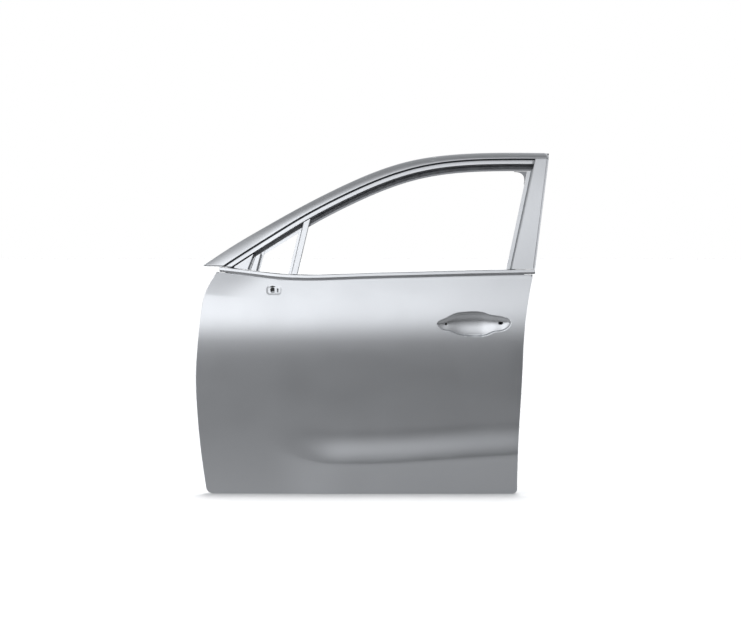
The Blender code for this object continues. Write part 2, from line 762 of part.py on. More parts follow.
def make_outer_skin(grid, kit):
    """The outer panel: pressed surface, hemmed edges, belt flange, handle recess and mirror pad."""
    shape = bmesh.new()
    columns, rows = len(grid.columns), len(grid.rows[0])
    cells = {
        (c, r): shape.verts.new(on_skin(*grid.point(c, r)))
        for c in range(columns)
        for r in range(rows)
    }
    handle = grid.handle_columns, grid.handle_rows
    mirror = grid.mirror_columns, grid.mirror_rows
    for c in range(columns - 1):
        for r in range(rows - 1):
            if not (in_block(c, r, handle) or in_block(c, r, mirror)):
                shape.faces.new(
                    (cells[c, r], cells[c, r + 1], cells[c + 1, r + 1], cells[c + 1, r])
                )
    hollows = (
        (handle, (HANDLE_PLACE, HANDLE_HEIGHT), handle_levels,
         max(p[0] for p in HANDLE_OUTLINE), max(p[1] for p in HANDLE_OUTLINE)),
        (mirror, (MIRROR_PLACE, MIRROR_HEIGHT), mirror_levels,
         MIRROR_PAD_LENGTH / 2, MIRROR_PAD_WIDTH / 2),
    )
    for block, centre, levels, half_length, half_width in hollows:
        ring = hollow_ring(block, cells)
        angles = ring_angles(ring, centre, half_length, half_width)
        press_hollow(shape, ring, centre, levels(angles))
        used = {
            cells.pop((c, r))
            for c in range(block[0][0] + 1, block[0][1])
            for r in range(block[1][0] + 1, block[1][1])
        }
        bmesh.ops.delete(shape, geom=list(used), context="VERTS")
    previous = [cells[c, 0] for c in range(columns)]
    places = [grid.point(c, 0)[0] for c in range(columns)]
    low = pan_front(BELT_LINE[0][1]) + BELT_FLANGE_MARGIN
    high = pan_rear(BELT_LINE[-1][1]) - BELT_FLANGE_MARGIN
    for level in range(len(belt_return(0))):
        if level == 2:
            kept = [i for i, x in enumerate(places) if low < x < high]
            previous = [previous[i] for i in kept]
            places = [places[i] for i in kept]
        line = []
        for x in places:
            height, depth = belt_return(x)[level]
            base = on_skin(x, belt_height(x) - BELT_ROLL)
            line.append(shape.verts.new((x, base.y + depth, height)))
        join_loops(shape, previous, line)
        previous = line
    border_cells, border = grid.border()
    previous = [cells[cell] for cell in border_cells]
    for inset in (0.0, HEM_WIDTH):
        points = below_belt(offset_line(border, inset), inset * HEM_TOP_SLOPE)
        line = [shape.verts.new(on_skin(x, z, hem_depth())) for x, z in points]
        join_loops(shape, line, previous)
        previous = line
    bmesh.ops.recalc_face_normals(shape, faces=shape.faces[:])
    obj = mesh_object("outer_skin", shape, kit)
    face_outwards(obj, (0, -1, 0))
    thicken(obj, SKIN_SHEET)
    front_pivot = HANDLE_PLACE - PIVOT_SPACING / 2 + PIVOT_OFFSET
    rear_pivot = front_pivot + PIVOT_SPACING
    kit["handle_tools"] = []
    kit["mirror_tools"] = []
    for name, x, z, width, length in (
        ("front_pivot_tool", front_pivot, HANDLE_HEIGHT, FRONT_PIVOT_HOLE, FRONT_PIVOT_HOLE),
        ("rear_pivot_tool", rear_pivot, HANDLE_HEIGHT + 0.003, REAR_PIVOT_HOLE_WIDTH,
         REAR_PIVOT_HOLE_LENGTH),
        ("mirror_hole_tool", MIRROR_PLACE + MIRROR_HOLE_OFFSET, MIRROR_HEIGHT + 0.001, MIRROR_HOLE,
         MIRROR_HOLE),
        ("mirror_slot_tool", MIRROR_PLACE + MIRROR_SLOT_OFFSET, MIRROR_HEIGHT, MIRROR_SLOT_LENGTH,
         MIRROR_SLOT_WIDTH),
    ):
        centre = on_skin(x, z)
        tool = round_tool(name, centre, "Y", width, TOOL, kit, (length / width, 1, 1))
        cut(obj, tool)
        kit["handle_tools" if "pivot" in name else "mirror_tools"].append(tool)
    return obj


def pan_front(height):
    """The X of the front shut wall, which leans back above the hinges."""
    return HINGE_WALL + max(0.0, height - HINGE_WALL_TOP) * HINGE_WALL_LEAN


def pan_rear(height):
    return LATCH_WALL + max(0.0, height - LATCH_WALL_TOP) * LATCH_WALL_LEAN


def wall_height(height, highest, top, floor):
    """Where a shut wall's point lies for a point of the skin's border: level with it, except near the
    wall's two ends."""
    share = (highest - height) / (highest - BOTTOM_EDGE)
    return height + (top - highest) * (1 - share) ** WALL_FADE + (floor - BOTTOM_EDGE) * share**WALL_FADE


def pan_loop(grid, inset=0.0, floor_rise=0.0, belt_rise=BELT_RISE):
    """A line along the shut walls in the side view, with as many points as the skin's border."""
    border = grid.border()[1]
    rows, last = len(grid.rows[0]), len(border) - 1
    floor = SILL_WALL + floor_rise + inset
    radius = max(0.008, PAN_RADIUS - inset)
    top_front = belt_height(pan_front(BELT_LINE[0][1])) + belt_rise - inset
    top_rear = belt_height(pan_rear(BELT_LINE[-1][1])) + belt_rise - inset

    def corner(height):
        rest = radius - (height - floor)
        return radius - math.sqrt(max(0.0, radius**2 - rest**2)) if rest > 0 else 0.0

    front, rear, bottom = [], [], []
    for i in range(rows):
        front_height = wall_height(border[i][1], border[0][1], top_front, floor)
        front.append((pan_front(front_height) + inset + corner(front_height), front_height))
        rear_height = wall_height(border[last - i][1], border[last][1], top_rear, floor)
        rear.append((pan_rear(rear_height) - inset - corner(rear_height), rear_height))
    count = last - 2 * rows + 2
    for i in range(1, count):
        bottom.append((mix(front[-1][0], rear[-1][0], i / count), floor))
    return front + bottom + rear[::-1]


def panel_top(line, count, inset):
    """Points along the belt from the line's last point back to its first."""
    made = []
    for i in range(count - 1, 0, -1):
        x = mix(line[0][0], line[-1][0], i / count)
        made.append((x, belt_height(x) + BELT_RISE - inset))
    return made


def make_inner_panel(grid, kit):
    """The inner panel: hem flange, shut walls, trim face and the openings in it."""
    shape = bmesh.new()
    border = grid.border()[1]
    behind = SKIN_SHEET + HEM_GAP + PANEL_SHEET
    fold = SKIN_SHEET + FOLD_CLEARANCE
    face_line = pan_loop(grid, 0.0, SILL_DRAFT)
    lines = [
        [on_skin(x, z, behind) for x, z in below_belt(offset_line(border, fold), HEM_TOP_DROP)],
        [
            on_skin(x, z, behind)
            for x, z in below_belt(offset_line(border, fold + FLANGE_WIDTH), HEM_TOP_DROP)
        ],
        [on_skin(x, z, SHUT_STEP) for x, z in pan_loop(grid, belt_rise=-BELT_ROLL)],
        [Vector((x, INNER_FACE, z)) for x, z in face_line],
    ]
    lines = [[shape.verts.new(p) for p in line] for line in lines]
    for first, second in zip(lines, lines[1:]):
        join_loops(shape, first, second)
    top = panel_top(face_line, 10, 0.0)
    loop = lines[-1] + [shape.verts.new((x, INNER_FACE, z)) for x, z in top]
    for inset, depth in (
        (TRIM_RIM, INNER_FACE),
        (TRIM_RIM + TRIM_STEP, INNER_FACE - TRIM_STEP_DEPTH),
    ):
        points = pan_loop(grid, inset, SILL_DRAFT)
        points += panel_top(points, 10, inset)
        inner = [shape.verts.new((x, depth, z)) for x, z in points]
        join_loops(shape, loop, inner, closed=True)
        loop = inner
    shape.faces.new(loop)
    bmesh.ops.recalc_face_normals(shape, faces=shape.faces[:])
    obj = mesh_object("inner_panel", shape, kit)
    face_outwards(obj, (0, 1, 0))
    thicken(obj, PANEL_SHEET)
    cut_panel(obj, kit)
    return obj


def prism_tool(name, outline, centre, low, high, kit):
    """A cutter with an outline in the side view, between two depths."""
    shape = bmesh.new()
    loops = [
        [shape.verts.new((centre[0] + x, y, centre[1] + z)) for x, z in outline]
        for y in (low, high)
    ]
    join_loops(shape, loops[0], loops[1], closed=True)
    for loop in loops:
        shape.faces.new(loop)
    bmesh.ops.recalc_face_normals(shape, faces=shape.faces[:])
    data = bpy.data.meshes.new(name)
    shape.to_mesh(data)
    shape.free()
    obj = bpy.data.objects.new(name, data)
    kit["cutters"].objects.link(obj)
    obj.hide_render = True
    obj.display_type = "WIRE"
    return obj


def cut_panel(obj, kit):
    """Openings of the inner panel."""
    length = ACCESS_HIGH[0] - ACCESS_LOW[0]
    width = ACCESS_HIGH[1] - ACCESS_LOW[1]
    centre = ((ACCESS_LOW[0] + ACCESS_HIGH[0]) / 2, (ACCESS_LOW[1] + ACCESS_HIGH[1]) / 2)
    outline = rounded_rectangle(length, width, ACCESS_RADIUS, 6)
    low, high = INNER_FACE - TOOL, INNER_FACE + TOOL
    cut(obj, prism_tool("access_tool", outline, centre, low, high, kit))
    place = (SPEAKER_PLACE, INNER_FACE, SPEAKER_HEIGHT)
    cut(obj, round_tool("speaker_tool", place, "Y", SPEAKER_HOLE, TOOL, kit))
    for tool in kit["wall_tools"]:
        cut(obj, tool)
    for i, x in enumerate(spread(0.12, 0.86, 4)):
        place = (x, 0, SILL_WALL)
        stretch = (DRAIN_LENGTH / DRAIN_WIDTH, 1, 1)
        tool = round_tool(f"drain_tool_{i}", place, "Z", DRAIN_WIDTH, 0.009, kit, stretch)
        cut(obj, tool)
    rim = INNER_FACE
    places = [(x, SILL_WALL + SILL_DRAFT + TRIM_RIM / 2) for x in spread(0.10, 0.88, 5)]
    places += [(HINGE_WALL + TRIM_RIM / 2, z) for z in (-0.40, -0.25, -0.10, 0.02)]
    places += [(LATCH_WALL - TRIM_RIM / 2, z) for z in (-0.40, -0.28, -0.17, 0.0)]
    for i, (x, z) in enumerate(places):
        cut(obj, round_tool(f"clip_tool_{i}", (x, rim, z), "Y", CLIP_HOLE, 0.004, kit))


def wall_tools(kit):
    """Cutters for the bolts, the check strap and the latch, which pass the shut walls."""
    made = []
    reach = 0.010
    for i, height in enumerate((0.0, -HINGE_SPACING)):
        for j, side in enumerate((-0.5, 0.5)):
            place = (HINGE_WALL, 0, height + side * HINGE_BOLT_SPACING)
            name = f"hinge_bolt_tool_{i}_{j}"
            made.append(round_tool(name, place, "X", HINGE_BOLT_HOLE, reach, kit))
    for j, side in enumerate((-0.5, 0.5)):
        place = (HINGE_WALL, 0, CHECK_HEIGHT + side * CHECK_BOLT_SPACING)
        made.append(round_tool(f"check_bolt_tool_{j}", place, "X", CHECK_BOLT_HOLE, reach, kit))
    half = (CHECK_SLOT_DEPTH / 2, CHECK_SLOT_HEIGHT / 2)
    low = (HINGE_WALL - reach, -half[0], CHECK_HEIGHT - half[1])
    high = (HINGE_WALL + reach, half[0], CHECK_HEIGHT + half[1])
    made.append(box_tool("check_slot_tool", low, high, kit))
    for j, (dy, dz) in enumerate(((0.014, 0.5), (0.014, -0.5), (-0.016, -0.5))):
        place = (LATCH_WALL, LATCH_DEPTH + dy, LATCH_HEIGHT + dz * LATCH_SCREW_SPACING)
        made.append(round_tool(f"latch_screw_tool_{j}", place, "X", LATCH_SCREW_HOLE, reach, kit))
    slot = (LATCH_WALL, LATCH_DEPTH - 0.004, LATCH_HEIGHT)
    low = (slot[0] - reach, slot[1] - LATCH_SLOT_REACH / 2, slot[2] - LATCH_SLOT_HEIGHT / 2)
    high = (slot[0] + reach, slot[1] + LATCH_SLOT_REACH / 2, slot[2] + LATCH_SLOT_HEIGHT / 2)
    made.append(box_tool("latch_slot_tool", low, high, kit))
    return made


def foot_height(x):
    """Where the window frame stands on the belt rail."""
    return belt_height(x) + RAIL_TOP + END_GAP


def crossing(test, low, high):
    """The place between low and high where test turns from below zero to above it."""
    for _ in range(32):
        middle = (low + high) / 2
        if test(middle) < 0:
            low = middle
        else:
            high = middle
    return (low + high) / 2


def line_at(line, height):
    """The X of a straight line, given by two (x, z) points, at a height."""
    (x0, z0), (x1, z1) = line
    return x0 + (x1 - x0) * (height - z0) / (z1 - z0)


def header_place(x, share, reach):
    """A point of the side view that lies share bands and reach inside the header's outer edge."""
    probe = 0.001
    slope = (header_height(x + probe) - header_height(x - probe)) / (2 * probe)
    size = math.sqrt(1 + slope**2)
    inset = share * header_band(x) + reach
    return x + inset * slope / size, header_height(x) - inset / size


def header_under(x, share, reach):
    """The height of a line along the header at a place."""
    station = crossing(lambda s: header_place(s, share, reach)[0] - x, -0.15, 1.25)
    return header_place(station, share, reach)[1]


def pillar_right(height):
    return line_at((PILLAR_BOTTOM_EDGE, PILLAR_TOP_EDGE), height)


def pillar_left(height):
    share = (height - PILLAR_BOTTOM_EDGE[1]) / (PILLAR_TOP_EDGE[1] - PILLAR_BOTTOM_EDGE[1])
    return pillar_right(height) - mix(PILLAR_WIDTH_BOTTOM, PILLAR_WIDTH_TOP, share)


def window_rear(height):
    return pillar_left(height) - PILLAR_SLOT - PILLAR_LIP


def above_foot(point):
    """Above zero where the header stands over the belt rail, behind its blunt front tip."""
    return min(point[1] - foot_height(point[0]), point[0] - HEADER_EDGE[0][0])


def rear_end(reach):
    """Where a line of the header sash ends: the outer band runs to the corner, the rest to the pillar."""
    rest = max(0.0, HEADER_CORNER_RADIUS - reach)
    cut_back = HEADER_CORNER_RADIUS - math.sqrt(HEADER_CORNER_RADIUS**2 - rest**2)
    return lambda point: point[0] - (HEADER_REAR - cut_back)


def at_pillar(gap):
    return lambda point: point[0] - (pillar_left(point[1]) - gap)


def header_sweep(name, section, first, last, stations, sheet, kit, finish=None):
    """A sheet along the header. Each line of the section is (share, reach, depth), and each runs
    between its own two end tests."""
    rows = []
    ends = []
    for i, (share, reach, _) in enumerate(section):
        start = crossing(lambda s: first[i](header_place(s, share, reach)), -0.10, 0.60)
        end = crossing(lambda s: last[i](header_place(s, share, reach)), 0.20, 1.20)
        ends.append((start, end))
    for k in range(stations + 1):
        row = []
        for (share, reach, depth), (start, end) in zip(section, ends):
            x, z = header_place(mix(start, end, k / stations), share, reach)
            row.append(on_frame(x, z, depth))
        rows.append(row)
    return sheet_from_rows(name, rows, sheet, kit, finish)


def make_header(kit):
    """The outer sash of the header, its inner rail and the glass run under it."""
    band = [(s, 0.0, BAND_ROLL * (1 - s) ** 2) for s in (0.0, 0.10, 0.25, 0.45, 0.70, 1.0)]
    groove = GROOVE_WIDTH
    face = GROOVE_WIDTH + FACE_WIDTH
    sash = [(0.0, 0.0, SASH_WALL)] + band + [
        (1.0, 0.0, GROOVE_DEPTH), (1.0, groove, GROOVE_DEPTH), (1.0, groove, FACE_DEPTH),
        (1.0, face, FACE_DEPTH), (1.0, face, FACE_RETURN),
    ]
    ends = [
        rear_end(line[0] * header_band(HEADER_REAR)) if i < 7 else at_pillar(PILLAR_SEAM)
        for i, line in enumerate(sash)
    ]
    obj = header_sweep("header_sash", sash, [above_foot] * 12, ends, 24, FRAME_SHEET, kit)
    face_outwards(obj, (0, -1, 0))

    wall = FRAME_SHEET + FRAME_GAP
    floor = CHANNEL_DEPTH + CHANNEL_SHEET + FLOOR_GAP
    rail = [
        (0.0, wall, BOX_LAP), (0.0, wall, BOX_DEPTH - BOX_CHAMFER),
        (0.0, BOX_CHAMFER, BOX_DEPTH), (1.0, 0.0, BOX_DEPTH), (1.0, LIP_REACH, BOX_DEPTH),
        (1.0, LIP_REACH, floor), (1.0, FLANGE_REACH, floor),
    ]
    end = [lambda point: point[0] - (pillar_right(point[1]) - wall)] * 7
    obj = header_sweep("header_rail", rail, [above_foot] * 7, end, 24, FRAME_SHEET, kit)
    face_outwards(obj, (0, 1, 0))

    leg = face + END_GAP + CHANNEL_SHEET
    foot = face + FLOOR_GAP + CHANNEL_WIDTH
    run = [
        (1.0, leg, CHANNEL_TOP), (1.0, leg, CHANNEL_DEPTH),
        (1.0, leg + 0.0045, CHANNEL_DEPTH), (1.0, leg + 0.0055, CHANNEL_DEPTH - CHANNEL_RIB),
        (1.0, leg + 0.0080, CHANNEL_DEPTH - CHANNEL_RIB), (1.0, leg + 0.0090, CHANNEL_DEPTH),
        (1.0, foot, CHANNEL_DEPTH),
    ]
    start = [lambda point: point[0] - bar_edge(point[1], BAR_WIDTH / 2 + END_GAP)] * 7
    end = [at_pillar(PILLAR_SEAM)] * 7
    obj = header_sweep("glass_run_header", run, start, end, 18, CHANNEL_SHEET, kit, RUBBER)
    face_outwards(obj, (0, -1, 0))

    foot = face + FLOOR_GAP + QUARTER_CHANNEL_WIDTH
    run = [
        (1.0, leg, CHANNEL_TOP), (1.0, leg, CHANNEL_DEPTH), (1.0, foot, CHANNEL_DEPTH),
    ]
    start = [lambda point: point[0] - line_at(SLOT_EDGE, point[1]) - END_GAP] * 3
    edge = -BAR_WIDTH / 2 - END_GAP
    end = [lambda point: point[0] - bar_edge(point[1], edge)] * 3
    obj = header_sweep("quarter_channel", run, start, end, 6, CHANNEL_SHEET, kit, RUBBER)
    face_outwards(obj, (0, -1, 0))


def bar_edge(height, side):
    return line_at(BAR_LINE, height) + side


def upright(name, section, rows, sheet, kit, finish=None):
    """A sheet of upright lines. Each line is (place, depth, low, high), with place and the two
    ends as functions of height or place."""
    lines = []
    for place, depth, low, high in section:
        bottom = crossing(lambda z: z - low(place(z)), -0.60, 0.50)
        top = crossing(lambda z: z - high(place(z)), 0.0, 0.62)
        lines.append([(z, place, depth) for z in spread(bottom, top, rows)])
    made = []
    for k in range(rows + 1):
        made.append([on_frame(place(z), z, depth) for z, place, depth in (n[k] for n in lines)])
    return sheet_from_rows(name, made, sheet, kit, finish)


def under_header(share, reach):
    return lambda x: header_under(x, share, reach)


def shifted(line, offset):
    return lambda z: line(z) + offset


def make_pillar(kit):
    """The rear pillar: the wide outer plate, the rail behind it and the glass run beside it."""
    seam = under_header(1.0, PILLAR_SEAM)
    edge = PILLAR_EDGE_WIDTH
    plate = [
        (pillar_left, FACE_RETURN), (pillar_left, FACE_DEPTH), (shifted(pillar_left, 0.003), 0.0),
        (shifted(pillar_right, -edge), 0.0), (shifted(pillar_right, -edge + 0.001), edge * 0.4),
        (pillar_right, edge * 0.4), (pillar_right, SASH_WALL),
    ]
    section = [(place, depth, foot_height, seam) for place, depth in plate]
    obj = upright("rear_sash", section, 8, FRAME_SHEET, kit)
    face_outwards(obj, (0, -1, 0))

    wall = -FRAME_SHEET - FRAME_GAP
    floor = CHANNEL_DEPTH + CHANNEL_SHEET + FLOOR_GAP
    rail = [
        (shifted(pillar_right, wall), BOX_LAP),
        (shifted(pillar_right, wall), BOX_DEPTH - BOX_CHAMFER),
        (shifted(pillar_right, -BOX_CHAMFER), BOX_DEPTH), (window_rear, BOX_DEPTH),
        (window_rear, floor), (shifted(pillar_left, 0.007), floor),
    ]
    top = under_header(1.0, LIP_REACH + END_GAP)
    section = [(place, depth, foot_height, top) for place, depth in rail]
    obj = upright("rear_rail", section, 8, FRAME_SHEET, kit)
    face_outwards(obj, (0, 1, 0))

    run = [
        (shifted(pillar_left, 0.010), CHANNEL_DEPTH),
        (shifted(pillar_left, 0.002 - PILLAR_SLOT), CHANNEL_DEPTH),
        (shifted(pillar_left, 0.0002 - PILLAR_SLOT), CHANNEL_DEPTH - 0.002),
    ]
    under = GROOVE_WIDTH + FACE_WIDTH + CHANNEL_WIDTH + FLOOR_GAP + END_GAP
    section = [(place, depth, foot_height, under_header(1.0, under)) for place, depth in run]
    obj = upright("glass_run_rear", section, 8, CHANNEL_SHEET, kit, RUBBER)
    face_outwards(obj, (0, -1, 0))


def make_gusset(kit):
    """The web that rounds the window's rear top corner."""
    reach = LIP_REACH + FLOOR_GAP
    rear = shifted(window_rear, -FLOOR_GAP)
    corner_z = crossing(lambda z: z - header_under(rear(z), 1.0, reach), 0.30, 0.60)
    corner_x = rear(corner_z)
    steps = 6
    straight, arc = [], []
    for x in spread(corner_x - CORNER_RADIUS, corner_x, steps):
        straight.append((x, header_under(x, 1.0, reach)))
    for z in spread(corner_z, corner_z - CORNER_RADIUS, steps)[1:]:
        straight.append((rear(z), z))
    first, last = straight[0], straight[-1]
    for t in spread(0.0, 1.0, 2 * steps):
        pull = 2 * t * (1 - t)
        x = (1 - t) ** 2 * first[0] + pull * corner_x + t**2 * last[0]
        z = (1 - t) ** 2 * first[1] + pull * corner_z + t**2 * last[1]
        arc.append((x - GUSSET_TIP * t, z - GUSSET_TIP * (1 - t)))
    depth = CHANNEL_DEPTH + CHANNEL_SHEET + FLOOR_GAP
    rows = [[on_frame(x, z, depth) for x, z in line] for line in (straight, arc)]
    obj = sheet_from_rows("corner_gusset", rows, GUSSET_SHEET, kit)
    face_outwards(obj, (0, -1, 0))


def make_front_corner(kit):
    """The corner panel, the plate behind it and the front post of the quarter window."""
    face = GROOVE_WIDTH + FACE_WIDTH
    slot = lambda z: line_at(SLOT_EDGE, z)
    seam = under_header(1.0, face + CORNER_SEAM)
    floor = CORNER_PLATE_DEPTH - FRAME_GAP
    panel = [(lambda z, t=t: mix(CORNER_TIP, slot(z), t), CORNER_DEPTH) for t in spread(0, 1, 4)]
    panel.append((slot, floor))
    section = [(place, depth, foot_height, seam) for place, depth in panel]
    obj = upright("corner_panel", section, 2, FRAME_SHEET, kit)
    face_outwards(obj, (0, -1, 0))

    under = face + FLOOR_GAP + END_GAP + QUARTER_CHANNEL_WIDTH
    front = lambda z: line_at(QUARTER_FRONT, z)
    plate = [lambda z, t=t: mix(CORNER_TIP + 0.030, front(z), t) for t in spread(0, 1, 3)]
    section = [(place, CORNER_PLATE_DEPTH, foot_height, under_header(1.0, under)) for place in plate]
    obj = upright("corner_plate", section, 4, FRAME_SHEET, kit)
    face_outwards(obj, (0, -1, 0))

    left = lambda z: line_at(POST_LEFT, z)
    right = lambda z: line_at(POST_RIGHT, z)
    post = [
        (left, floor), (left, CORNER_DEPTH + 0.002), (shifted(left, 0.002), CORNER_DEPTH),
        (shifted(right, -0.002), CORNER_DEPTH), (right, CORNER_DEPTH + 0.002), (right, floor),
    ]
    section = [(place, depth, foot_height, under_header(1.0, under)) for place, depth in post]
    obj = upright("quarter_post", section, 2, FRAME_SHEET, kit)
    face_outwards(obj, (0, -1, 0))


def make_division_bar(kit):
    """The bar between the two windows and the guide that carries it down into the door."""
    half = BAR_WIDTH / 2
    middle = lambda z: line_at(BAR_LINE, z)
    face = GROOVE_WIDTH + FACE_WIDTH
    under = under_header(1.0, face + FLOOR_GAP + END_GAP + QUARTER_CHANNEL_WIDTH)
    inside = under_header(1.0, face + END_GAP)
    bar = [
        (shifted(middle, -half - BAR_FLANGE), CORNER_PLATE_DEPTH, under),
        (shifted(middle, -half), CORNER_PLATE_DEPTH, under),
        (shifted(middle, -half), FACE_DEPTH + 0.002, inside),
        (shifted(middle, -half + 0.002), FACE_DEPTH, inside),
        (shifted(middle, half - 0.002), FACE_DEPTH, inside),
        (shifted(middle, half), FACE_DEPTH + 0.002, inside),
        (shifted(middle, half), CORNER_PLATE_DEPTH, inside),
    ]
    section = [(place, depth, foot_height, top) for place, depth, top in bar]
    obj = upright("division_bar", section, 4, FRAME_SHEET, kit)
    face_outwards(obj, (0, -1, 0))

    leg = GUIDE_INNER_LEG - FRAME_GAP * 4
    guide = [
        (GUIDE_REACH - 0.004, GUIDE_OUTER_LEG), (-0.004, GUIDE_OUTER_LEG),
        (-0.004, leg), (GUIDE_REACH - 0.004, leg),
    ]
    top = lambda x: foot_height(x) + GUIDE_PLUG
    low = lambda x: foot_height(x) - GUIDE_LENGTH
    section = [(shifted(middle, side), depth, low, top) for side, depth in guide]
    obj = upright("division_guide", section, 6, CHANNEL_SHEET, kit)
    face_outwards(obj, (-1, 0, 0))


def make_lower_sashes(kit):
    """The two supports of the window frame inside the door, and the rear guide of the glass."""
    rear = lambda z: line_at(REAR_GUIDE_LINE, z)
    reach = GUIDE_REACH
    guide = [
        (-reach, GUIDE_OUTER_LEG), (0.0, GUIDE_OUTER_LEG),
        (0.0, GUIDE_INNER_LEG), (-reach, GUIDE_INNER_LEG),
    ]
    low = lambda x: foot_height(x) - REAR_GUIDE_LENGTH
    top = lambda x: foot_height(x) - 2 * END_GAP
    section = [(shifted(rear, side), depth, low, top) for side, depth in guide]
    obj = upright("rear_guide", section, 6, CHANNEL_SHEET, kit)
    face_outwards(obj, (1, 0, 0))

    front = lambda z: LOWER_SASH_FRONT + max(0.0, z - HINGE_WALL_TOP) * 0.26
    for name, place, width in (
        ("front_lower_sash", front, LOWER_SASH_WIDTH),
        ("rear_lower_sash", shifted(rear, -reach), LOWER_SASH_WIDTH),
    ):
        low = lambda x: foot_height(x) - LOWER_SASH_LENGTH
        top = lambda x: foot_height(x) + GUIDE_PLUG
        hat = [
            (0.0, LOWER_SASH_OUTER), (0.008, LOWER_SASH_OUTER), (0.010, LOWER_SASH_INNER),
            (width - 0.010, LOWER_SASH_INNER), (width - 0.008, LOWER_SASH_OUTER),
            (width, LOWER_SASH_OUTER),
        ]
        section = [(shifted(place, side), depth, low, top) for side, depth in hat]
        obj = upright(name, section, 5, CHANNEL_SHEET, kit)
        face_outwards(obj, (0, -1, 0))


def make_belt_rail(grid, kit):
    """The strip above the skin with the groove under it, and the stiffener behind the skin."""
    face = FRAME_STEP + BELT_ROLL * SHOULDER_SLOPE
    groove = BELT_FLANGE_DEPTH + FLOOR_GAP
    front_wall = pan_front(belt_height(0.0)) + 0.006
    rear_wall = pan_rear(belt_height(1.0)) - 0.006
    rear = pillar_right(foot_height(1.045))
    inside = [grid.point(c, 0)[0] for c in range(len(grid.columns))]
    inside = [x for x in inside if front_wall + 0.010 < x < rear_wall - 0.010]
    places = spread(RAIL_START, front_wall, 3) + [front_wall + 0.004] + inside
    places += [rear_wall - 0.004] + spread(rear_wall, rear, 1)
    rows = []
    for x in places:
        base = skin_depth(x, belt_height(x) - BELT_ROLL)
        lap = -RAIL_LAP if front_wall < x < rear_wall else 0.0015
        section = [
            (RAIL_TOP, RAIL_TOP_DEPTH), (RAIL_TOP, face + RAIL_LEAN + 0.0015),
            (RAIL_TOP - 0.0015, face + RAIL_LEAN), (RAIL_GROOVE, face),
            (RAIL_GROOVE, groove), (lap, groove),
        ]
        rows.append([Vector((x, base + depth, belt_height(x) + z)) for z, depth in section])
    obj = sheet_from_rows("belt_rail", rows, CHANNEL_SHEET, kit)
    face_outwards(obj, (0, -1, 0))

    rib = STIFFENER_RIB_DEPTH
    rear_wall = pan_rear(belt_height(1.0) - STIFFENER_FOOT) - 0.006
    places = [front_wall + 0.004] + [x for x in inside if x < rear_wall - 0.010] + [rear_wall]
    rows = []
    for x in places:
        belt = belt_height(x)
        base = skin_depth(x, belt - BELT_ROLL)
        row = [Vector((x, base + groove - 0.0006, belt - RAIL_LAP - END_GAP))]
        for z, depth in ((-0.024, rib), (-0.042, rib), (-0.049, 0.0095), (-STIFFENER_FOOT, 0.0095)):
            row.append(on_skin(x, belt + z, depth))
        rows.append(row)
    obj = sheet_from_rows("outer_belt_stiffener", rows, CHANNEL_SHEET, kit)
    face_outwards(obj, (0, -1, 0))


def make_belt_stiffener(kit):
    """The stiffener along the inside of the inner panel's belt."""
    rim = INNER_FACE - PANEL_SHEET - FRAME_GAP - CHANNEL_SHEET
    high, low = BELT_RISE - 0.002, BELT_RISE - BELT_STIFFENER_HEIGHT
    field = INNER_FACE - TRIM_STEP_DEPTH - PANEL_SHEET - FRAME_GAP - CHANNEL_SHEET
    section = [
        (high, rim), (high - 0.012, rim), (high - 0.018, BELT_STIFFENER_DEPTH),
        (low + 0.026, BELT_STIFFENER_DEPTH), (low + 0.020, field), (low, field),
    ]
    rows = []
    for x in spread(BELT_STIFFENER_FRONT, BELT_STIFFENER_REAR, 12):
        rows.append([Vector((x, y, belt_height(x) + z)) for z, y in section])
    obj = sheet_from_rows("inner_belt_stiffener", rows, CHANNEL_SHEET, kit)
    face_outwards(obj, (0, -1, 0))


def wall_plate(name, x, direction, centre, height, depth, sheet, kit, flange=0.0):
    """A flat plate on a shut wall, with a flange along the cabin side if asked for."""
    y0, y1 = centre[0] - depth / 2, centre[0] + depth / 2
    wall_start = SHUT_STEP + 0.008
    z0, z1 = centre[1] - height / 2, centre[1] + height / 2
    rows = []
    for z in (z0, z0 + height * 0.25, z1 - height * 0.25, z1):
        slim = 0.010 if z in (z0, z1) else 0.0
        start = max(y0 + slim, skin_depth(x, z) + wall_start)
        row = [Vector((x, start, z)), Vector((x, y1, z))]
        if flange:
            row.append(Vector((x + direction * (flange - slim), y1, z)))
        rows.append(row)
    obj = sheet_from_rows(name, rows, sheet, kit)
    return face_outwards(obj, (-direction, 0.3 if flange else 0, 0))


def nut(name, place, axis, diameter, height, bore, kit):
    """A hexagonal weld nut with its bore along X, growing from place in the direction of axis."""
    shape = bmesh.new()
    loops = []
    for radius, sides, lift in (
        (bore / 2, 12, 0.0), (diameter / 2, 6, 0.0), (diameter / 2, 6, height), (bore / 2, 12, height)
    ):
        loop = []
        for k in range(12):
            angle = 2 * math.pi * k / 12
            reach = radius if sides == 12 or k % 2 == 0 else radius * math.cos(math.pi / 6)
            y, z = reach * math.cos(angle), reach * math.sin(angle)
            loop.append(shape.verts.new((place[0] + axis * lift, place[1] + y, place[2] + z)))
        loops.append(loop)
    for i in range(4):
        join_loops(shape, loops[i], loops[(i + 1) % 4], closed=True)
    bmesh.ops.recalc_face_normals(shape, faces=shape.faces[:])
    return mesh_object(name, shape, kit)


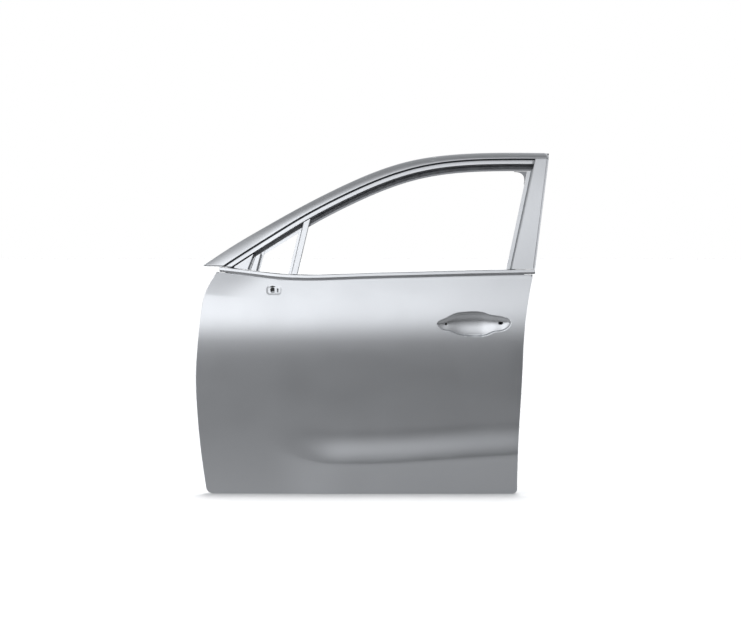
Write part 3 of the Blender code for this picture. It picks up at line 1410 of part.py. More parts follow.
def make_wall_plates(kit):
    """Reinforcements of the shut walls: hinges, check strap and latch, with their weld nuts."""
    behind = HINGE_WALL + PANEL_SHEET + WELD_GAP
    flange_side = INNER_FACE - PANEL_SHEET - WELD_GAP - 0.0004
    for name, height in (("upper", 0.0), ("lower", -HINGE_SPACING)):
        depth = flange_side + HINGE_PAD_DEPTH / 2
        centre = (flange_side - depth / 2, height)
        plate = wall_plate(
            f"{name}_hinge_plate", behind, 1, centre, HINGE_PAD_HEIGHT, depth,
            HINGE_PLATE_SHEET, kit, 0.020,
        )
        for tool in kit["wall_tools"]:
            if tool.name.startswith("hinge_bolt_tool") and abs(tool.location.z - height) < 0.1:
                cut(plate, tool)
        for j, side in enumerate((-0.5, 0.5)):
            place = (behind + HINGE_PLATE_SHEET + NUT_GAP, 0, height + side * HINGE_BOLT_SPACING)
            nut(f"{name}_hinge_nut_{j + 1}", place, 1, HINGE_NUT_DIAMETER, HINGE_NUT_HEIGHT,
                HINGE_NUT_BORE, kit)
    plate = wall_plate("check_plate", behind, 1, (0, CHECK_HEIGHT), CHECK_PLATE_HEIGHT,
                       CHECK_PLATE_DEPTH, REINFORCEMENT_SHEET, kit)
    for tool in kit["wall_tools"]:
        if tool.name.startswith("check"):
            cut(plate, tool)
    for j, side in enumerate((-0.5, 0.5)):
        place = (behind + REINFORCEMENT_SHEET + NUT_GAP, 0, CHECK_HEIGHT + side * CHECK_BOLT_SPACING)
        nut(f"check_nut_{j + 1}", place, 1, CHECK_NUT_DIAMETER, CHECK_NUT_HEIGHT,
            CHECK_NUT_BORE, kit)
    behind = LATCH_WALL - PANEL_SHEET - WELD_GAP
    plate = wall_plate("latch_plate", behind, -1, (LATCH_DEPTH, LATCH_HEIGHT), LATCH_PLATE_HEIGHT,
                       LATCH_PLATE_DEPTH, REINFORCEMENT_SHEET, kit)
    for tool in kit["wall_tools"]:
        if tool.name.startswith("latch"):
            cut(plate, tool)


def make_beam(kit):
    """The side impact beam, a tube, with a bracket at each end and sealer pads to the skin."""
    front = HINGE_WALL + PANEL_SHEET + BEAM_END_GAP
    rear = LATCH_WALL - PANEL_SHEET - BEAM_END_GAP
    radius = BEAM_DIAMETER / 2

    def height(x):
        return mix(BEAM_FRONT_HEIGHT, BEAM_REAR_HEIGHT, (x - front) / (rear - front))

    reach = SKIN_SHEET + BEAM_SKIN_GAP + radius
    places = spread(front, rear, 20)
    needed = [max(skin_depth(x, height(x) + dz) for dz in (-radius, 0.0, radius)) + reach
              for x in places]
    slope = (needed[-1] - needed[0]) / (rear - front)
    rise = max(n - slope * (x - front) for n, x in zip(needed, places))

    def depth(x):
        return rise + slope * (x - front)

    low = Vector((front, depth(front), height(front)))
    high = Vector((rear, depth(rear), height(rear)))
    along = (high - low).normalized()
    side = Vector((0, 1, 0))
    side = (side - along * side.dot(along)).normalized()
    up = along.cross(side)
    shape = bmesh.new()
    loops = []
    for size, place in (
        (radius, low), (radius, high), (radius - BEAM_WALL, high), (radius - BEAM_WALL, low)
    ):
        loop = []
        for k in range(24):
            angle = 2 * math.pi * k / 24
            offset = side * size * math.cos(angle) + up * size * math.sin(angle)
            loop.append(shape.verts.new(place + offset))
        loops.append(loop)
    for i in range(4):
        join_loops(shape, loops[i], loops[(i + 1) % 4], closed=True)
    bmesh.ops.recalc_face_normals(shape, faces=shape.faces[:])
    mesh_object("impact_beam", shape, kit, DARK_STEEL)

    saddle = radius + FRAME_GAP
    sheet = REINFORCEMENT_SHEET
    for name, wall, way in (("front_beam_bracket", HINGE_WALL + PANEL_SHEET, 1),
                            ("rear_beam_bracket", LATCH_WALL - PANEL_SHEET, -1)):
        rows = []
        face = wall + way * (WELD_GAP + 0.0006)
        for x, lift in ((face + way * BRACKET_LENGTH, 0.0), (face + way * 0.030, 0.0),
                        (face, 0.0), (face, BRACKET_FLANGE)):
            centre = Vector((x, depth(x), height(x)))
            row = [centre + Vector((0, lift, -saddle - BRACKET_WING))]
            for k in range(9):
                angle = math.pi * k / 8
                row.append(centre + Vector((0, saddle * math.sin(angle) + lift,
                                            -saddle * math.cos(angle))))
            row.append(centre + Vector((0, lift, saddle + BRACKET_WING)))
            rows.append(row)
        obj = sheet_from_rows(name, rows, sheet, kit)
        face_outwards(obj, (0, -1, 0))

    for i, x in enumerate(PAD_PLACES):
        half = PAD_LENGTH / 2
        rows = []
        for dx in (-half, 0.0, half):
            row = []
            for dz in (-0.009, 0.0, 0.009):
                row.append(on_skin(x + dx, height(x) + dz, SKIN_SHEET + SEALER_GAP))
            rows.append(row)
        room = min(
            depth(x + dx) - math.sqrt(radius**2 - dz**2) - skin_depth(x + dx, height(x) + dz)
            for dx in (-half, half) for dz in (-0.009, 0.0, 0.009)
        )
        thick = room - SKIN_SHEET - 2 * SEALER_GAP - abs(height(half) - height(-half))
        obj = sheet_from_rows(f"sealer_pad_{i + 1}", rows, max(0.002, thick), kit, SEALER)
        face_outwards(obj, (0, -1, 0))


def backing_plate(name, centre, loops, sheet, hole, kit):
    """A dished plate behind the skin. Each loop is (length, width, radius, depth)."""
    shape = bmesh.new()
    previous = None
    for length, width, radius, depth in loops:
        outline = rounded_rectangle(length, width, radius, 4)
        line = [
            shape.verts.new(on_skin(centre[0] + x, centre[1] + z, depth)) for x, z in outline
        ]
        if previous:
            join_loops(shape, previous, line, closed=True)
        previous = line
    if not hole:
        close_with_fan(shape, previous)
    bmesh.ops.recalc_face_normals(shape, faces=shape.faces[:])
    obj = mesh_object(name, shape, kit)
    face_outwards(obj, (0, -1, 0))
    return thicken(obj, sheet)


def make_backing_plates(kit):
    """The plates behind the handle recess and the mirror pad."""
    start = SKIN_SHEET + BACKING_GAP
    half = HANDLE_PLATE_WIDTH / 2
    section = [(half, start), (half - 0.008, start + 0.0002), (half - 0.013, HANDLE_PLATE_DEPTH)]
    section += [(z, HANDLE_PLATE_DEPTH) for z in (0.020, -0.020)]
    section += [(-z, depth) for z, depth in section[2::-1]]
    rows = []
    for x in spread(HANDLE_PLATE_FRONT, HANDLE_PLATE_REAR, 6):
        rows.append([on_skin(x, HANDLE_HEIGHT + z, depth) for z, depth in section])
    obj = sheet_from_rows("handle_plate", rows, CHANNEL_SHEET, kit)
    face_outwards(obj, (0, -1, 0))
    outline = rounded_rectangle(
        HANDLE_WINDOW_LENGTH, HANDLE_WINDOW_WIDTH, HANDLE_WINDOW_WIDTH * 0.45, 5
    )
    centre = (HANDLE_PLACE, HANDLE_HEIGHT)
    cut(obj, prism_tool("bowl_tool", outline, centre, -0.100, 0.0, kit))
    for tool in kit["handle_tools"]:
        cut(obj, tool)
    length, width, rim = MIRROR_PLATE_LENGTH, MIRROR_PLATE_WIDTH, MIRROR_PLATE_RIM
    loops = [
        (length, width, 0.014, start), (length - rim, width - rim, 0.012, start + 0.0002),
        (length - 2.2 * rim, width - 2.2 * rim, 0.010, MIRROR_PLATE_DEPTH),
    ]
    centre = (MIRROR_PLACE, MIRROR_HEIGHT)
    obj = backing_plate("mirror_plate", centre, loops, CHANNEL_SHEET, False, kit)
    for tool in kit["mirror_tools"]:
        cut(obj, tool)


def build():
    clear_scene()
    kit = {
        "parts": new_collection("car_door_shell"),
        "cutters": new_collection("cutters", shown=False),
    }
    grid = SkinGrid()
    kit["wall_tools"] = wall_tools(kit)
    make_outer_skin(grid, kit)
    make_inner_panel(grid, kit)
    make_header(kit)
    make_pillar(kit)
    make_gusset(kit)
    make_front_corner(kit)
    make_division_bar(kit)
    make_lower_sashes(kit)
    make_belt_rail(grid, kit)
    make_belt_stiffener(kit)
    make_wall_plates(kit)
    make_beam(kit)
    make_backing_plates(kit)


build()
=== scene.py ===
"""Looks of the bare front left car door shell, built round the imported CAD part.

Sizes are in metres, in the frame of the part: +X to the rear of the car, +Y into it, +Z up.
"""

import json
import math

import bmesh
import bpy
import numpy as np
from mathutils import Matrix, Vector


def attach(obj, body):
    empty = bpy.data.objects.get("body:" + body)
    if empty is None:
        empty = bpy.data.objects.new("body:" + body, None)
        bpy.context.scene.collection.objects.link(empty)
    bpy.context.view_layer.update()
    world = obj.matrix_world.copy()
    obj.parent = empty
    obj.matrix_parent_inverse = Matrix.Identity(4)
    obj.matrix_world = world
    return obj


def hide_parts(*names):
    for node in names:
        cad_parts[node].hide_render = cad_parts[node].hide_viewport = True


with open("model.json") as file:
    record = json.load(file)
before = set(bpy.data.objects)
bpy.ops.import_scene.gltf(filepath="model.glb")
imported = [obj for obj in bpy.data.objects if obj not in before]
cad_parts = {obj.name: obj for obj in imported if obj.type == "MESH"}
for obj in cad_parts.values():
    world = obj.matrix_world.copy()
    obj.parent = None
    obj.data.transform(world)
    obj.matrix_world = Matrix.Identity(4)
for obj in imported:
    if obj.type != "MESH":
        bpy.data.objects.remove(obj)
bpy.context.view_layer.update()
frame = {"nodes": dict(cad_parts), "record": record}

# The part's sizes, as its source has them
SKIN_SHEET = 0.0008
PANEL_SHEET = 0.0010
FRAME_SHEET = 0.0010
FRONT_EDGE = [
    (-0.555, -0.0150), (-0.435, -0.0325), (-0.318, -0.0445), (-0.172, -0.0510),
    (-0.045, -0.0430), (0.040, -0.0330), (0.088, -0.0230), (0.171, 0.0220),
]
REAR_EDGE = [
    (-0.555, 0.9900), (-0.420, 0.9930), (-0.170, 1.0070), (0.010, 1.0180), (0.162, 1.0440),
]
BELT_LINE = [
    (-0.030, 0.1630), (0.020, 0.1615), (0.059, 0.1575), (0.107, 0.1520), (0.205, 0.1405),
    (0.302, 0.1357), (0.448, 0.1396), (0.643, 0.1450), (0.838, 0.1500), (1.043, 0.1540),
    (1.100, 0.1550),
]
BOTTOM_EDGE = -0.555
FRONT_BOTTOM_RADIUS = 0.018
REAR_BOTTOM_RADIUS = 0.012
EDGE_FADE = 4
WIDEST_DEPTH = -0.075
WIDEST_HEIGHT = -0.200
BODY_RADIUS = 4.5
PLAN_RADIUS = 12.0
PLAN_WIDEST_PLACE = 0.700
SHOULDER_SLOPE = 0.47
SHOULDER_HEIGHT = 0.008
SHOULDER_SOFTNESS = 0.035
UPPER_CREASE = [(-0.030, 0.0890), (0.100, 0.0775), (0.172, 0.0735), (1.100, 0.0735)]
UPPER_CREASE_SLOPE = 0.13
UPPER_CREASE_END = 0.210
LOWER_CREASE = [
    (-0.030, -0.3900), (0.153, -0.4000), (0.205, -0.4160), (0.286, -0.4420), (0.357, -0.4580),
    (0.432, -0.4620), (0.611, -0.4570), (0.773, -0.4460), (1.020, -0.4300),
]
FLARE_START = 0.150
TUCK_SLOPE = 0.10
HEM_WIDTH = 0.010
HEM_TOP_SLOPE = 0.4
HEM_GAP = 0.0006
BELT_ROLL = 0.004
BELT_FLANGE_DEPTH = 0.0080
BELT_FLANGE_HEIGHT = 0.0110
BELT_FLANGE_MARGIN = 0.010
RAIL_TOP = 0.0170
END_GAP = 0.0015
FRAME_STEP = 0.003
FRAME_LEAN = 0.306
FRAME_RADIUS = 1.25
HEADER_EDGE = [
    (-0.0276, 0.1836), (0.0680, 0.2470), (0.1674, 0.3055), (0.2714, 0.3640), (0.3848, 0.4225),
    (0.5148, 0.4810), (0.6347, 0.5200), (0.7586, 0.5405), (0.9360, 0.5490), (1.1200, 0.5475),
]
HEADER_BAND = [
    (-0.0276, 0.0370), (0.0580, 0.0370), (0.2860, 0.0285), (0.4500, 0.0265), (0.6430, 0.0235),
    (0.7600, 0.0205), (0.9400, 0.0190), (1.1200, 0.0178),
]
HEADER_REAR = 1.0970
HEADER_CORNER_RADIUS = 0.013
BAND_ROLL = 0.0095
SASH_WALL = 0.0220
GROOVE_WIDTH = 0.0050
GROOVE_DEPTH = 0.0065
FACE_WIDTH = 0.0130
FACE_DEPTH = 0.0010
FACE_RETURN = 0.0110
PILLAR_TOP_EDGE = (1.0970, 0.5300)
PILLAR_BOTTOM_EDGE = (1.0495, 0.1700)
PILLAR_WIDTH_TOP = 0.0440
PILLAR_WIDTH_BOTTOM = 0.0755
PILLAR_SEAM = 0.0008
HANDLE_PLACE = 0.8525
HANDLE_HEIGHT = -0.0055
HANDLE_OUTLINE = [
    (0.119, 0.004), (0.110, 0.018), (0.084, 0.0255), (0.054, 0.030), (0.022, 0.0395),
    (-0.022, 0.0400), (-0.060, 0.0350), (-0.092, 0.0200), (-0.114, 0.0100), (-0.121, -0.002),
    (-0.104, -0.0190), (-0.079, -0.0245), (-0.045, -0.0370), (-0.007, -0.0405),
    (0.032, -0.0385), (0.064, -0.0265), (0.092, -0.0220), (0.112, -0.0100),
]
HANDLE_MARGIN = 0.014
PIVOT_SPACING = 0.177
PIVOT_OFFSET = -0.0035
MIRROR_PLACE = 0.2015
MIRROR_HEIGHT = 0.1030
MIRROR_PAD_LENGTH = 0.052
MIRROR_PAD_WIDTH = 0.032
MIRROR_PAD_RADIUS = 0.012
MIRROR_MARGIN = 0.014
HINGE_WALL_TOP = 0.075
HINGE_WALL_LEAN = 0.50
LATCH_WALL = 0.975
LATCH_WALL_TOP = 0.030
LATCH_WALL_LEAN = 0.32

# Sizes that only this file has, and a few that it has otherwise than the source
FLARE_REACH = 0.0138
FLARE_HEIGHT = 0.126
FLARE_BELOW = 0.032
FLARE_FULL = 0.480
CREASE_ROUND = 0.0025
TROUGH = [  # share of the handle recess's height from its top, depth as a share of that height
    (0.0, 0.030), (0.08, 0.050), (0.20, 0.095), (0.33, 0.140), (0.42, 0.160), (0.50, 0.168),
    (0.58, 0.168), (0.67, 0.157), (0.75, 0.144), (0.83, 0.134), (0.92, 0.129), (1.0, 0.129),
]
TROUGH_RIM = 0.0055
MIRROR_PAD_DEPTH = 0.0012
MIRROR_WALL = 0.0080
HEM_BULGE = 0.0006
FOLD_RADIUS = 0.0016
FOLD_STEPS = 4
FOLD_SHARE = 0.45
NEARLY_STRAIGHT = -0.93
TYPICAL_BAND = 0.024
EDGE_WIDTH = 0.0004
DIVISION_PLACE = 0.290
FRONT_PIVOT = (HANDLE_PLACE - PIVOT_SPACING / 2 + PIVOT_OFFSET, HANDLE_HEIGHT)
REAR_PIVOT = (FRONT_PIVOT[0] + PIVOT_SPACING, HANDLE_HEIGHT + 0.003)
MIRROR_HOLE = (MIRROR_PLACE - 0.004, MIRROR_HEIGHT + 0.001)
MIRROR_SLOT = (MIRROR_PLACE + 0.012, MIRROR_HEIGHT)

# The camera, and the brightness of the tent by degrees of elevation or azimuth
CAMERA_WIDTH = 2.408
CAMERA_MIDDLE = (0.515, 0.013)
CAMERA_DISTANCE = 40.0
CAMERA_TILT = 1.0
TENT_RADIUS = 150.0
TENT_SIDES = 180
TENT_SINK = 1.0
TENT_DARKEST = 0.03
TENT_RISE = [
    (-90, 0.08), (-45, 0.08), (-32, 0.25), (-22, 0.44), (-13, 0.46), (-9, 0.32), (-6, 0.12),
    (-3, 0.03), (3, 0.03), (4.5, 0.09), (6.5, 0.18), (10.6, 0.27), (17, 0.46), (26, 0.69),
    (35.7, 0.93), (44, 1.05), (90, 1.05),
]
TENT_FALL = [(54, 1.0), (58, 0.90), (64, 0.66), (70, 0.50), (80, 0.36), (90, 0.22)]
TENT_FALL_POWER = [(-30, 1.0), (-12, 1.5)]
TENT_SIDE = [
    (-180, 0.25), (-90, 0.33), (-63, 0.50), (-48, 0.66), (-35, 0.87), (-22, 1.20), (-12, 1.60),
    (-7, 1.65), (-4.3, 1.62), (-1.4, 1.55), (0, 1.40), (3.4, 1.07), (8, 0.90), (30, 0.60),
    (90, 0.35), (180, 0.25),
]
TENT_SIDE_BELOW = [(-7, 1.15), (0, 1.0), (4, 0.88)]
TENT_BACK = [
    (-90, 0.22), (-15, 0.30), (10, 0.50), (30, 0.85), (45, 0.78), (60, 0.42), (70, 0.27), (90, 0.20),
]
SUNS = [(78, 0.22), (60, 0.30), (46, 0.22), (36, 0.15), (27, 0.11)]  # elevation, share of the light
SUN_ENERGY = 3.3
SUN_ANGLE = 13


def spline(knots):
    """A smooth curve through (place, value) knots, straight past its ends."""
    places, values = np.array(knots, float).T
    steps = np.diff(places)
    rises = np.diff(values) / steps
    count = len(places)
    system, right = np.eye(count), np.zeros(count)
    for i in range(1, count - 1):
        system[i, i - 1 : i + 2] = steps[i - 1], 2 * (steps[i - 1] + steps[i]), steps[i]
        right[i] = 6 * (rises[i] - rises[i - 1])
    bends = np.linalg.solve(system, right)
    first = rises[0] - steps[0] * bends[1] / 6
    last = rises[-1] + steps[-1] * bends[-2] / 6

    def value(place):
        place = np.asarray(place, float)
        i = np.clip(np.searchsorted(places, place) - 1, 0, count - 2)
        a = (places[i + 1] - place) / steps[i]
        b = 1 - a
        inside = a * values[i] + b * values[i + 1]
        inside = inside + ((a**3 - a) * bends[i] + (b**3 - b) * bends[i + 1]) * steps[i] ** 2 / 6
        inside = np.where(place < places[0], values[0] + first * (place - places[0]), inside)
        return np.where(place > places[-1], values[-1] + last * (place - places[-1]), inside)

    return value


def blend(t):
    """Runs smoothly from 0 to 1 as t does."""
    t = np.clip(t, 0.0, 1.0)
    return t * t * t * (t * (6 * t - 15) + 10)


def soft_rise(value, radius):
    """The value where it is above zero and 0 below, with a round bend between."""
    return radius * np.logaddexp(0.0, value / radius)


def mix(a, b, t):
    """The value at share t of the way from a to b."""
    return a + (b - a) * t


def read_table(table, place):
    """The value at a place of a table of (place, value) rows, straight between the rows."""
    return float(np.interp(place, *zip(*table)))


front_curve, rear_curve = spline(FRONT_EDGE), spline(REAR_EDGE)
belt_height, upper_crease = spline(BELT_LINE), spline(UPPER_CREASE)
lower_crease = spline(LOWER_CREASE)


def corner_cut(height, radius):
    """How far the skin's edge stands in at its round bottom corner."""
    rest = np.maximum(0.0, radius - (height - BOTTOM_EDGE))
    return radius - np.sqrt(np.maximum(0.0, radius**2 - rest**2))


def front_edge(height):
    """The X of the skin's front edge."""
    return front_curve(height) + corner_cut(height, FRONT_BOTTOM_RADIUS)


def rear_edge(height):
    """The X of the skin's rear edge."""
    return rear_curve(height) - corner_cut(height, REAR_BOTTOM_RADIUS)


def skin_depth(x, z):
    """The Y of the skin's outer face, without its two hollows."""
    y = WIDEST_DEPTH + (z - WIDEST_HEIGHT) ** 2 / (2 * BODY_RADIUS)
    y = y + (x - PLAN_WIDEST_PLACE) ** 2 / (2 * PLAN_RADIUS)
    rise = (z - SHOULDER_HEIGHT) / SHOULDER_SOFTNESS
    y = y + SHOULDER_SLOPE * SHOULDER_SOFTNESS * np.logaddexp(0.0, rise)
    fade = 1 - blend((x - front_edge(z)) / UPPER_CREASE_END)
    y = y + UPPER_CREASE_SLOPE * soft_rise(z - upper_crease(x), CREASE_ROUND) * fade
    strength = blend((x - FLARE_START) / (FLARE_FULL - FLARE_START))
    above = z - lower_crease(x)
    whole = FLARE_HEIGHT + FLARE_BELOW
    y = y - strength * FLARE_REACH * blend((FLARE_HEIGHT - np.maximum(0.0, above)) / whole)
    return y + strength * TUCK_SLOPE * soft_rise(-above, CREASE_ROUND)


def steepness(surface, x, z):
    """How much longer than deep an offset square to the surface is along Y."""
    probe = 0.002
    along = (surface(x + probe, z) - surface(x - probe, z)) / (2 * probe)
    up = (surface(x, z + probe) - surface(x, z - probe)) / (2 * probe)
    return np.sqrt(1 + along**2 + up**2)


def on_skin(x, z, depth=0.0):
    """The Y of a place that lies a depth below the skin's outer face, square to it."""
    return skin_depth(x, z) + depth * steepness(skin_depth, x, z)


header_height, header_band = spline(HEADER_EDGE), spline(HEADER_BAND)


def frame_depth(x, z):
    """The Y of the outer face of the window frame."""
    belt = belt_height(x)
    rise = z - belt
    return skin_depth(x, belt) + FRAME_STEP + FRAME_LEAN * rise + rise**2 / (2 * FRAME_RADIUS)


def header_place(x, share, reach):
    """A point of the side view that lies share bands and reach inside the header's outer edge."""
    probe = 0.001
    slope = (header_height(x + probe) - header_height(x - probe)) / (2 * probe)
    size = np.sqrt(1 + slope**2)
    inset = share * header_band(x) + reach
    return x + inset * slope / size, header_height(x) - inset / size


def crossing(test, low, high):
    """The place between low and high where test turns from below zero to above it."""
    for _ in range(32):
        middle = (low + high) / 2
        low, high = (middle, high) if test(middle) < 0 else (low, middle)
    return (low + high) / 2


def closed_spline(points, samples):
    """Points along a smooth closed curve."""
    points = np.array(points)
    count = len(points)
    made = []
    for i in range(count):
        p0, p1, p2, p3 = (points[(i + k) % count] for k in (-1, 0, 1, 2))
        for t in np.linspace(0, 1, samples, endpoint=False):
            made.append(0.5 * (2 * p1 + (p2 - p0) * t + (2 * p0 - 5 * p1 + 4 * p2 - p3) * t**2
                               + (3 * p1 - p0 - 3 * p2 + p3) * t**3))
    return np.array(made)


def inside_distance(outline, x, z):
    """How far points lie inside a closed outline, below zero where they are outside it."""
    shape = x.shape
    x, z = x.ravel(), z.ravel()
    best = np.full(len(x), 1e9)
    crossings = np.zeros(len(x), int)
    for (x0, z0), (x1, z1) in zip(outline, np.roll(outline, -1, axis=0)):
        run, rise = x1 - x0, z1 - z0
        share = np.clip(((x - x0) * run + (z - z0) * rise) / (run**2 + rise**2), 0, 1)
        best = np.minimum(best, np.hypot(x - x0 - share * run, z - z0 - share * rise))
        spans = (z0 > z) != (z1 > z)
        reach = x0 + (z - z0) * run / (rise if rise else 1e-12)
        crossings += spans & (x < reach)
    return np.where(crossings % 2 == 1, best, -best).reshape(shape)


def handle_hollow(x, z):
    """Depth of the handle recess, a trough that is deepest just below its middle."""
    x, z = x - HANDLE_PLACE, z - HANDLE_HEIGHT
    near = (np.abs(x) < 0.14) & (np.abs(z) < 0.06)
    depth = np.zeros(x.shape)
    outline = closed_spline(HANDLE_OUTLINE, 12)
    x, z = x[near], z[near]
    inside = inside_distance(outline, x, z)
    left, right = outline[:, 0].argmin(), outline[:, 0].argmax()
    turned = np.roll(outline, -right, axis=0)
    count = (left - right) % len(outline) + 1
    upper, lower = turned[:count][::-1], np.vstack([turned[count - 1 :], turned[:1]])
    top, bottom = np.interp(x, *upper.T), np.interp(x, *lower.T)
    height = np.maximum(top - bottom, 0.004)
    v = np.clip((top - z) / height, 0.0, 1.0)
    depth[near] = height * spline(TROUGH)(v) * blend((inside + 0.0006) / TROUGH_RIM)
    return depth


def mirror_hollow(x, z):
    """Depth of the mirror pad, a shallow rounded rectangle with soft sides."""
    x, z = np.abs(x - MIRROR_PLACE), np.abs(z - MIRROR_HEIGHT)
    dx = x - (MIRROR_PAD_LENGTH / 2 - MIRROR_PAD_RADIUS)
    dz = z - (MIRROR_PAD_WIDTH / 2 - MIRROR_PAD_RADIUS)
    outside = np.hypot(np.maximum(dx, 0), np.maximum(dz, 0)) + np.minimum(np.maximum(dx, dz), 0)
    return MIRROR_PAD_DEPTH * blend((MIRROR_PAD_RADIUS - outside + 0.0005) / MIRROR_WALL)


def spread(a, b, count):
    """count + 1 evenly spaced values from a to b."""
    return [mix(a, b, i / count) for i in range(count + 1)]


def skin_grid():
    """X and Z of the skin's vertices, by column and row."""
    mirror = MIRROR_PAD_LENGTH / 2 + MIRROR_MARGIN
    half = max(abs(p[0]) for p in HANDLE_OUTLINE) + HANDLE_MARGIN
    tall = max(abs(p[1]) for p in HANDLE_OUTLINE) + HANDLE_MARGIN
    first, last = float(front_curve(MIRROR_HEIGHT)), float(rear_curve(HANDLE_HEIGHT))
    runs = (
        (first, MIRROR_PLACE - mirror, 16), (MIRROR_PLACE - mirror, MIRROR_PLACE + mirror, 52),
        (MIRROR_PLACE + mirror, HANDLE_PLACE - half, 44), (HANDLE_PLACE - half, HANDLE_PLACE + half, 160),
        (HANDLE_PLACE + half, last, 6),
    )
    columns = [first]
    for start, end, count in runs:
        columns += spread(start, end, count)[1:]
    columns = np.array(columns)
    mirror_top = MIRROR_HEIGHT + MIRROR_PAD_WIDTH / 2 + MIRROR_MARGIN - 0.002
    levels = [
        (belt_height(columns) - BELT_ROLL, 0), (mirror_top, 2), (upper_crease(columns), 34),
        (HANDLE_HEIGHT + tall, 4), (HANDLE_HEIGHT - tall, 62), (lower_crease(columns) + FLARE_HEIGHT, 16),
        (lower_crease(columns), 18), (BOTTOM_EDGE + FRONT_BOTTOM_RADIUS, 6),
    ]
    rows = [levels[0][0]]
    for (start, _), (end, count) in zip(levels, levels[1:]):
        rows += [mix(start, end, k / count) * np.ones_like(columns) for k in range(1, count + 1)]
    corner = BOTTOM_EDGE + FRONT_BOTTOM_RADIUS
    rows += [(corner - FRONT_BOTTOM_RADIUS * s) * np.ones_like(columns)
             for s in (0.25, 0.5, 0.7, 0.85, 0.95, 1.0)]
    height = np.array(rows).T
    share = ((columns - first) / (last - first))[:, None]
    place = columns[:, None] + (front_edge(height) - first) * (1 - share) ** EDGE_FADE
    place = place + (rear_edge(height) - last) * share**EDGE_FADE
    return place, height


def hole_outlines():
    """Outlines of the skin's four holes in the side view."""
    def oval(middle, length, width, flat=None):
        turn = np.linspace(0, 2 * math.pi, 48, endpoint=False)
        line = np.stack([length / 2 * np.cos(turn), width / 2 * np.sin(turn)], axis=1)
        if flat is not None:
            line[:, 0] = np.minimum(line[:, 0], flat)
        return line + middle

    return [
        oval(FRONT_PIVOT, 0.0085, 0.0085), oval(REAR_PIVOT, 0.015, 0.0095),
        oval(MIRROR_HOLE, 0.015, 0.016, 0.0052), oval(MIRROR_SLOT, 0.004, 0.013),
    ]


def placed(name, data):
    """A new object in the scene."""
    obj = bpy.data.objects.new(name, data)
    bpy.context.scene.collection.objects.link(obj)
    return obj


def new_piece(name, mesh, finish, sheet=None):
    """Adds a piece that rides with the door. A sheet thickness makes a solid of an open sheet."""
    obj = placed(name, mesh)
    mesh.materials.clear()
    mesh.materials.append(finish)
    if sheet:
        solidify = obj.modifiers.new("sheet", "SOLIDIFY")
        solidify.thickness = sheet
        solidify.offset = -1
    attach(obj, "root")
    return obj


def turn_outwards(mesh):
    """Flips a mesh whose faces on the whole look into the car."""
    if sum((p.normal * p.area for p in mesh.polygons), Vector()).y > 0:
        mesh.flip_normals()


def grid_mesh(name, points, keep=None):
    """A mesh of quads through an array of points, by column and row."""
    columns, rows = points.shape[:2]
    ids = np.arange(columns * rows).reshape(columns, rows)
    quads = np.stack([ids[:-1, :-1], ids[:-1, 1:], ids[1:, 1:], ids[1:, :-1]], axis=-1)
    quads = quads.reshape(-1, 4)
    if keep is not None:
        quads = quads[keep.ravel()]
    mesh = bpy.data.meshes.new(name)
    mesh.from_pydata(points.reshape(-1, 3).tolist(), [], quads.tolist())
    turn_outwards(mesh)
    return mesh


def smooth(mesh, degrees):
    """Shades a mesh smoothly, apart from edges that bend by more than some degrees."""
    mesh.shade_smooth()
    mesh.set_sharp_from_angle(angle=math.radians(degrees))


def punch_holes(x, z):
    """Moves vertices onto the edges of the holes, and returns which quads of the grid are kept."""
    middle_x = (x[:-1, :-1] + x[1:, 1:]) / 2
    middle_z = (z[:-1, :-1] + z[1:, 1:]) / 2
    keep = np.ones(middle_x.shape, bool)
    for outline in hole_outlines():
        gone = np.zeros(keep.shape, bool)
        low, high = outline.min(0) - 0.004, outline.max(0) + 0.004
        near = (middle_x > low[0]) & (middle_x < high[0]) & (middle_z > low[1]) & (middle_z < high[1])
        gone[near] = inside_distance(outline, middle_x[near], middle_z[near]) > 0
        touched = np.zeros(x.shape, int)
        held = np.zeros(x.shape, int)
        for dc in (0, 1):
            for dr in (0, 1):
                part = (slice(dc, x.shape[0] - 1 + dc), slice(dr, x.shape[1] - 1 + dr))
                touched[part] += gone
                held[part] += ~gone
        edge = (touched > 0) & (held > 0)
        centre = outline.mean(0)
        ray = np.arctan2(z[edge] - centre[1], x[edge] - centre[0])
        around = np.arctan2(outline[:, 1] - centre[1], outline[:, 0] - centre[0])
        radius = np.hypot(*(outline - centre).T)
        order = np.argsort(around)
        reach = np.interp(ray, around[order], radius[order], period=2 * math.pi)
        x[edge] = centre[0] + reach * np.cos(ray)
        z[edge] = centre[1] + reach * np.sin(ray)
        keep &= ~gone
    return keep


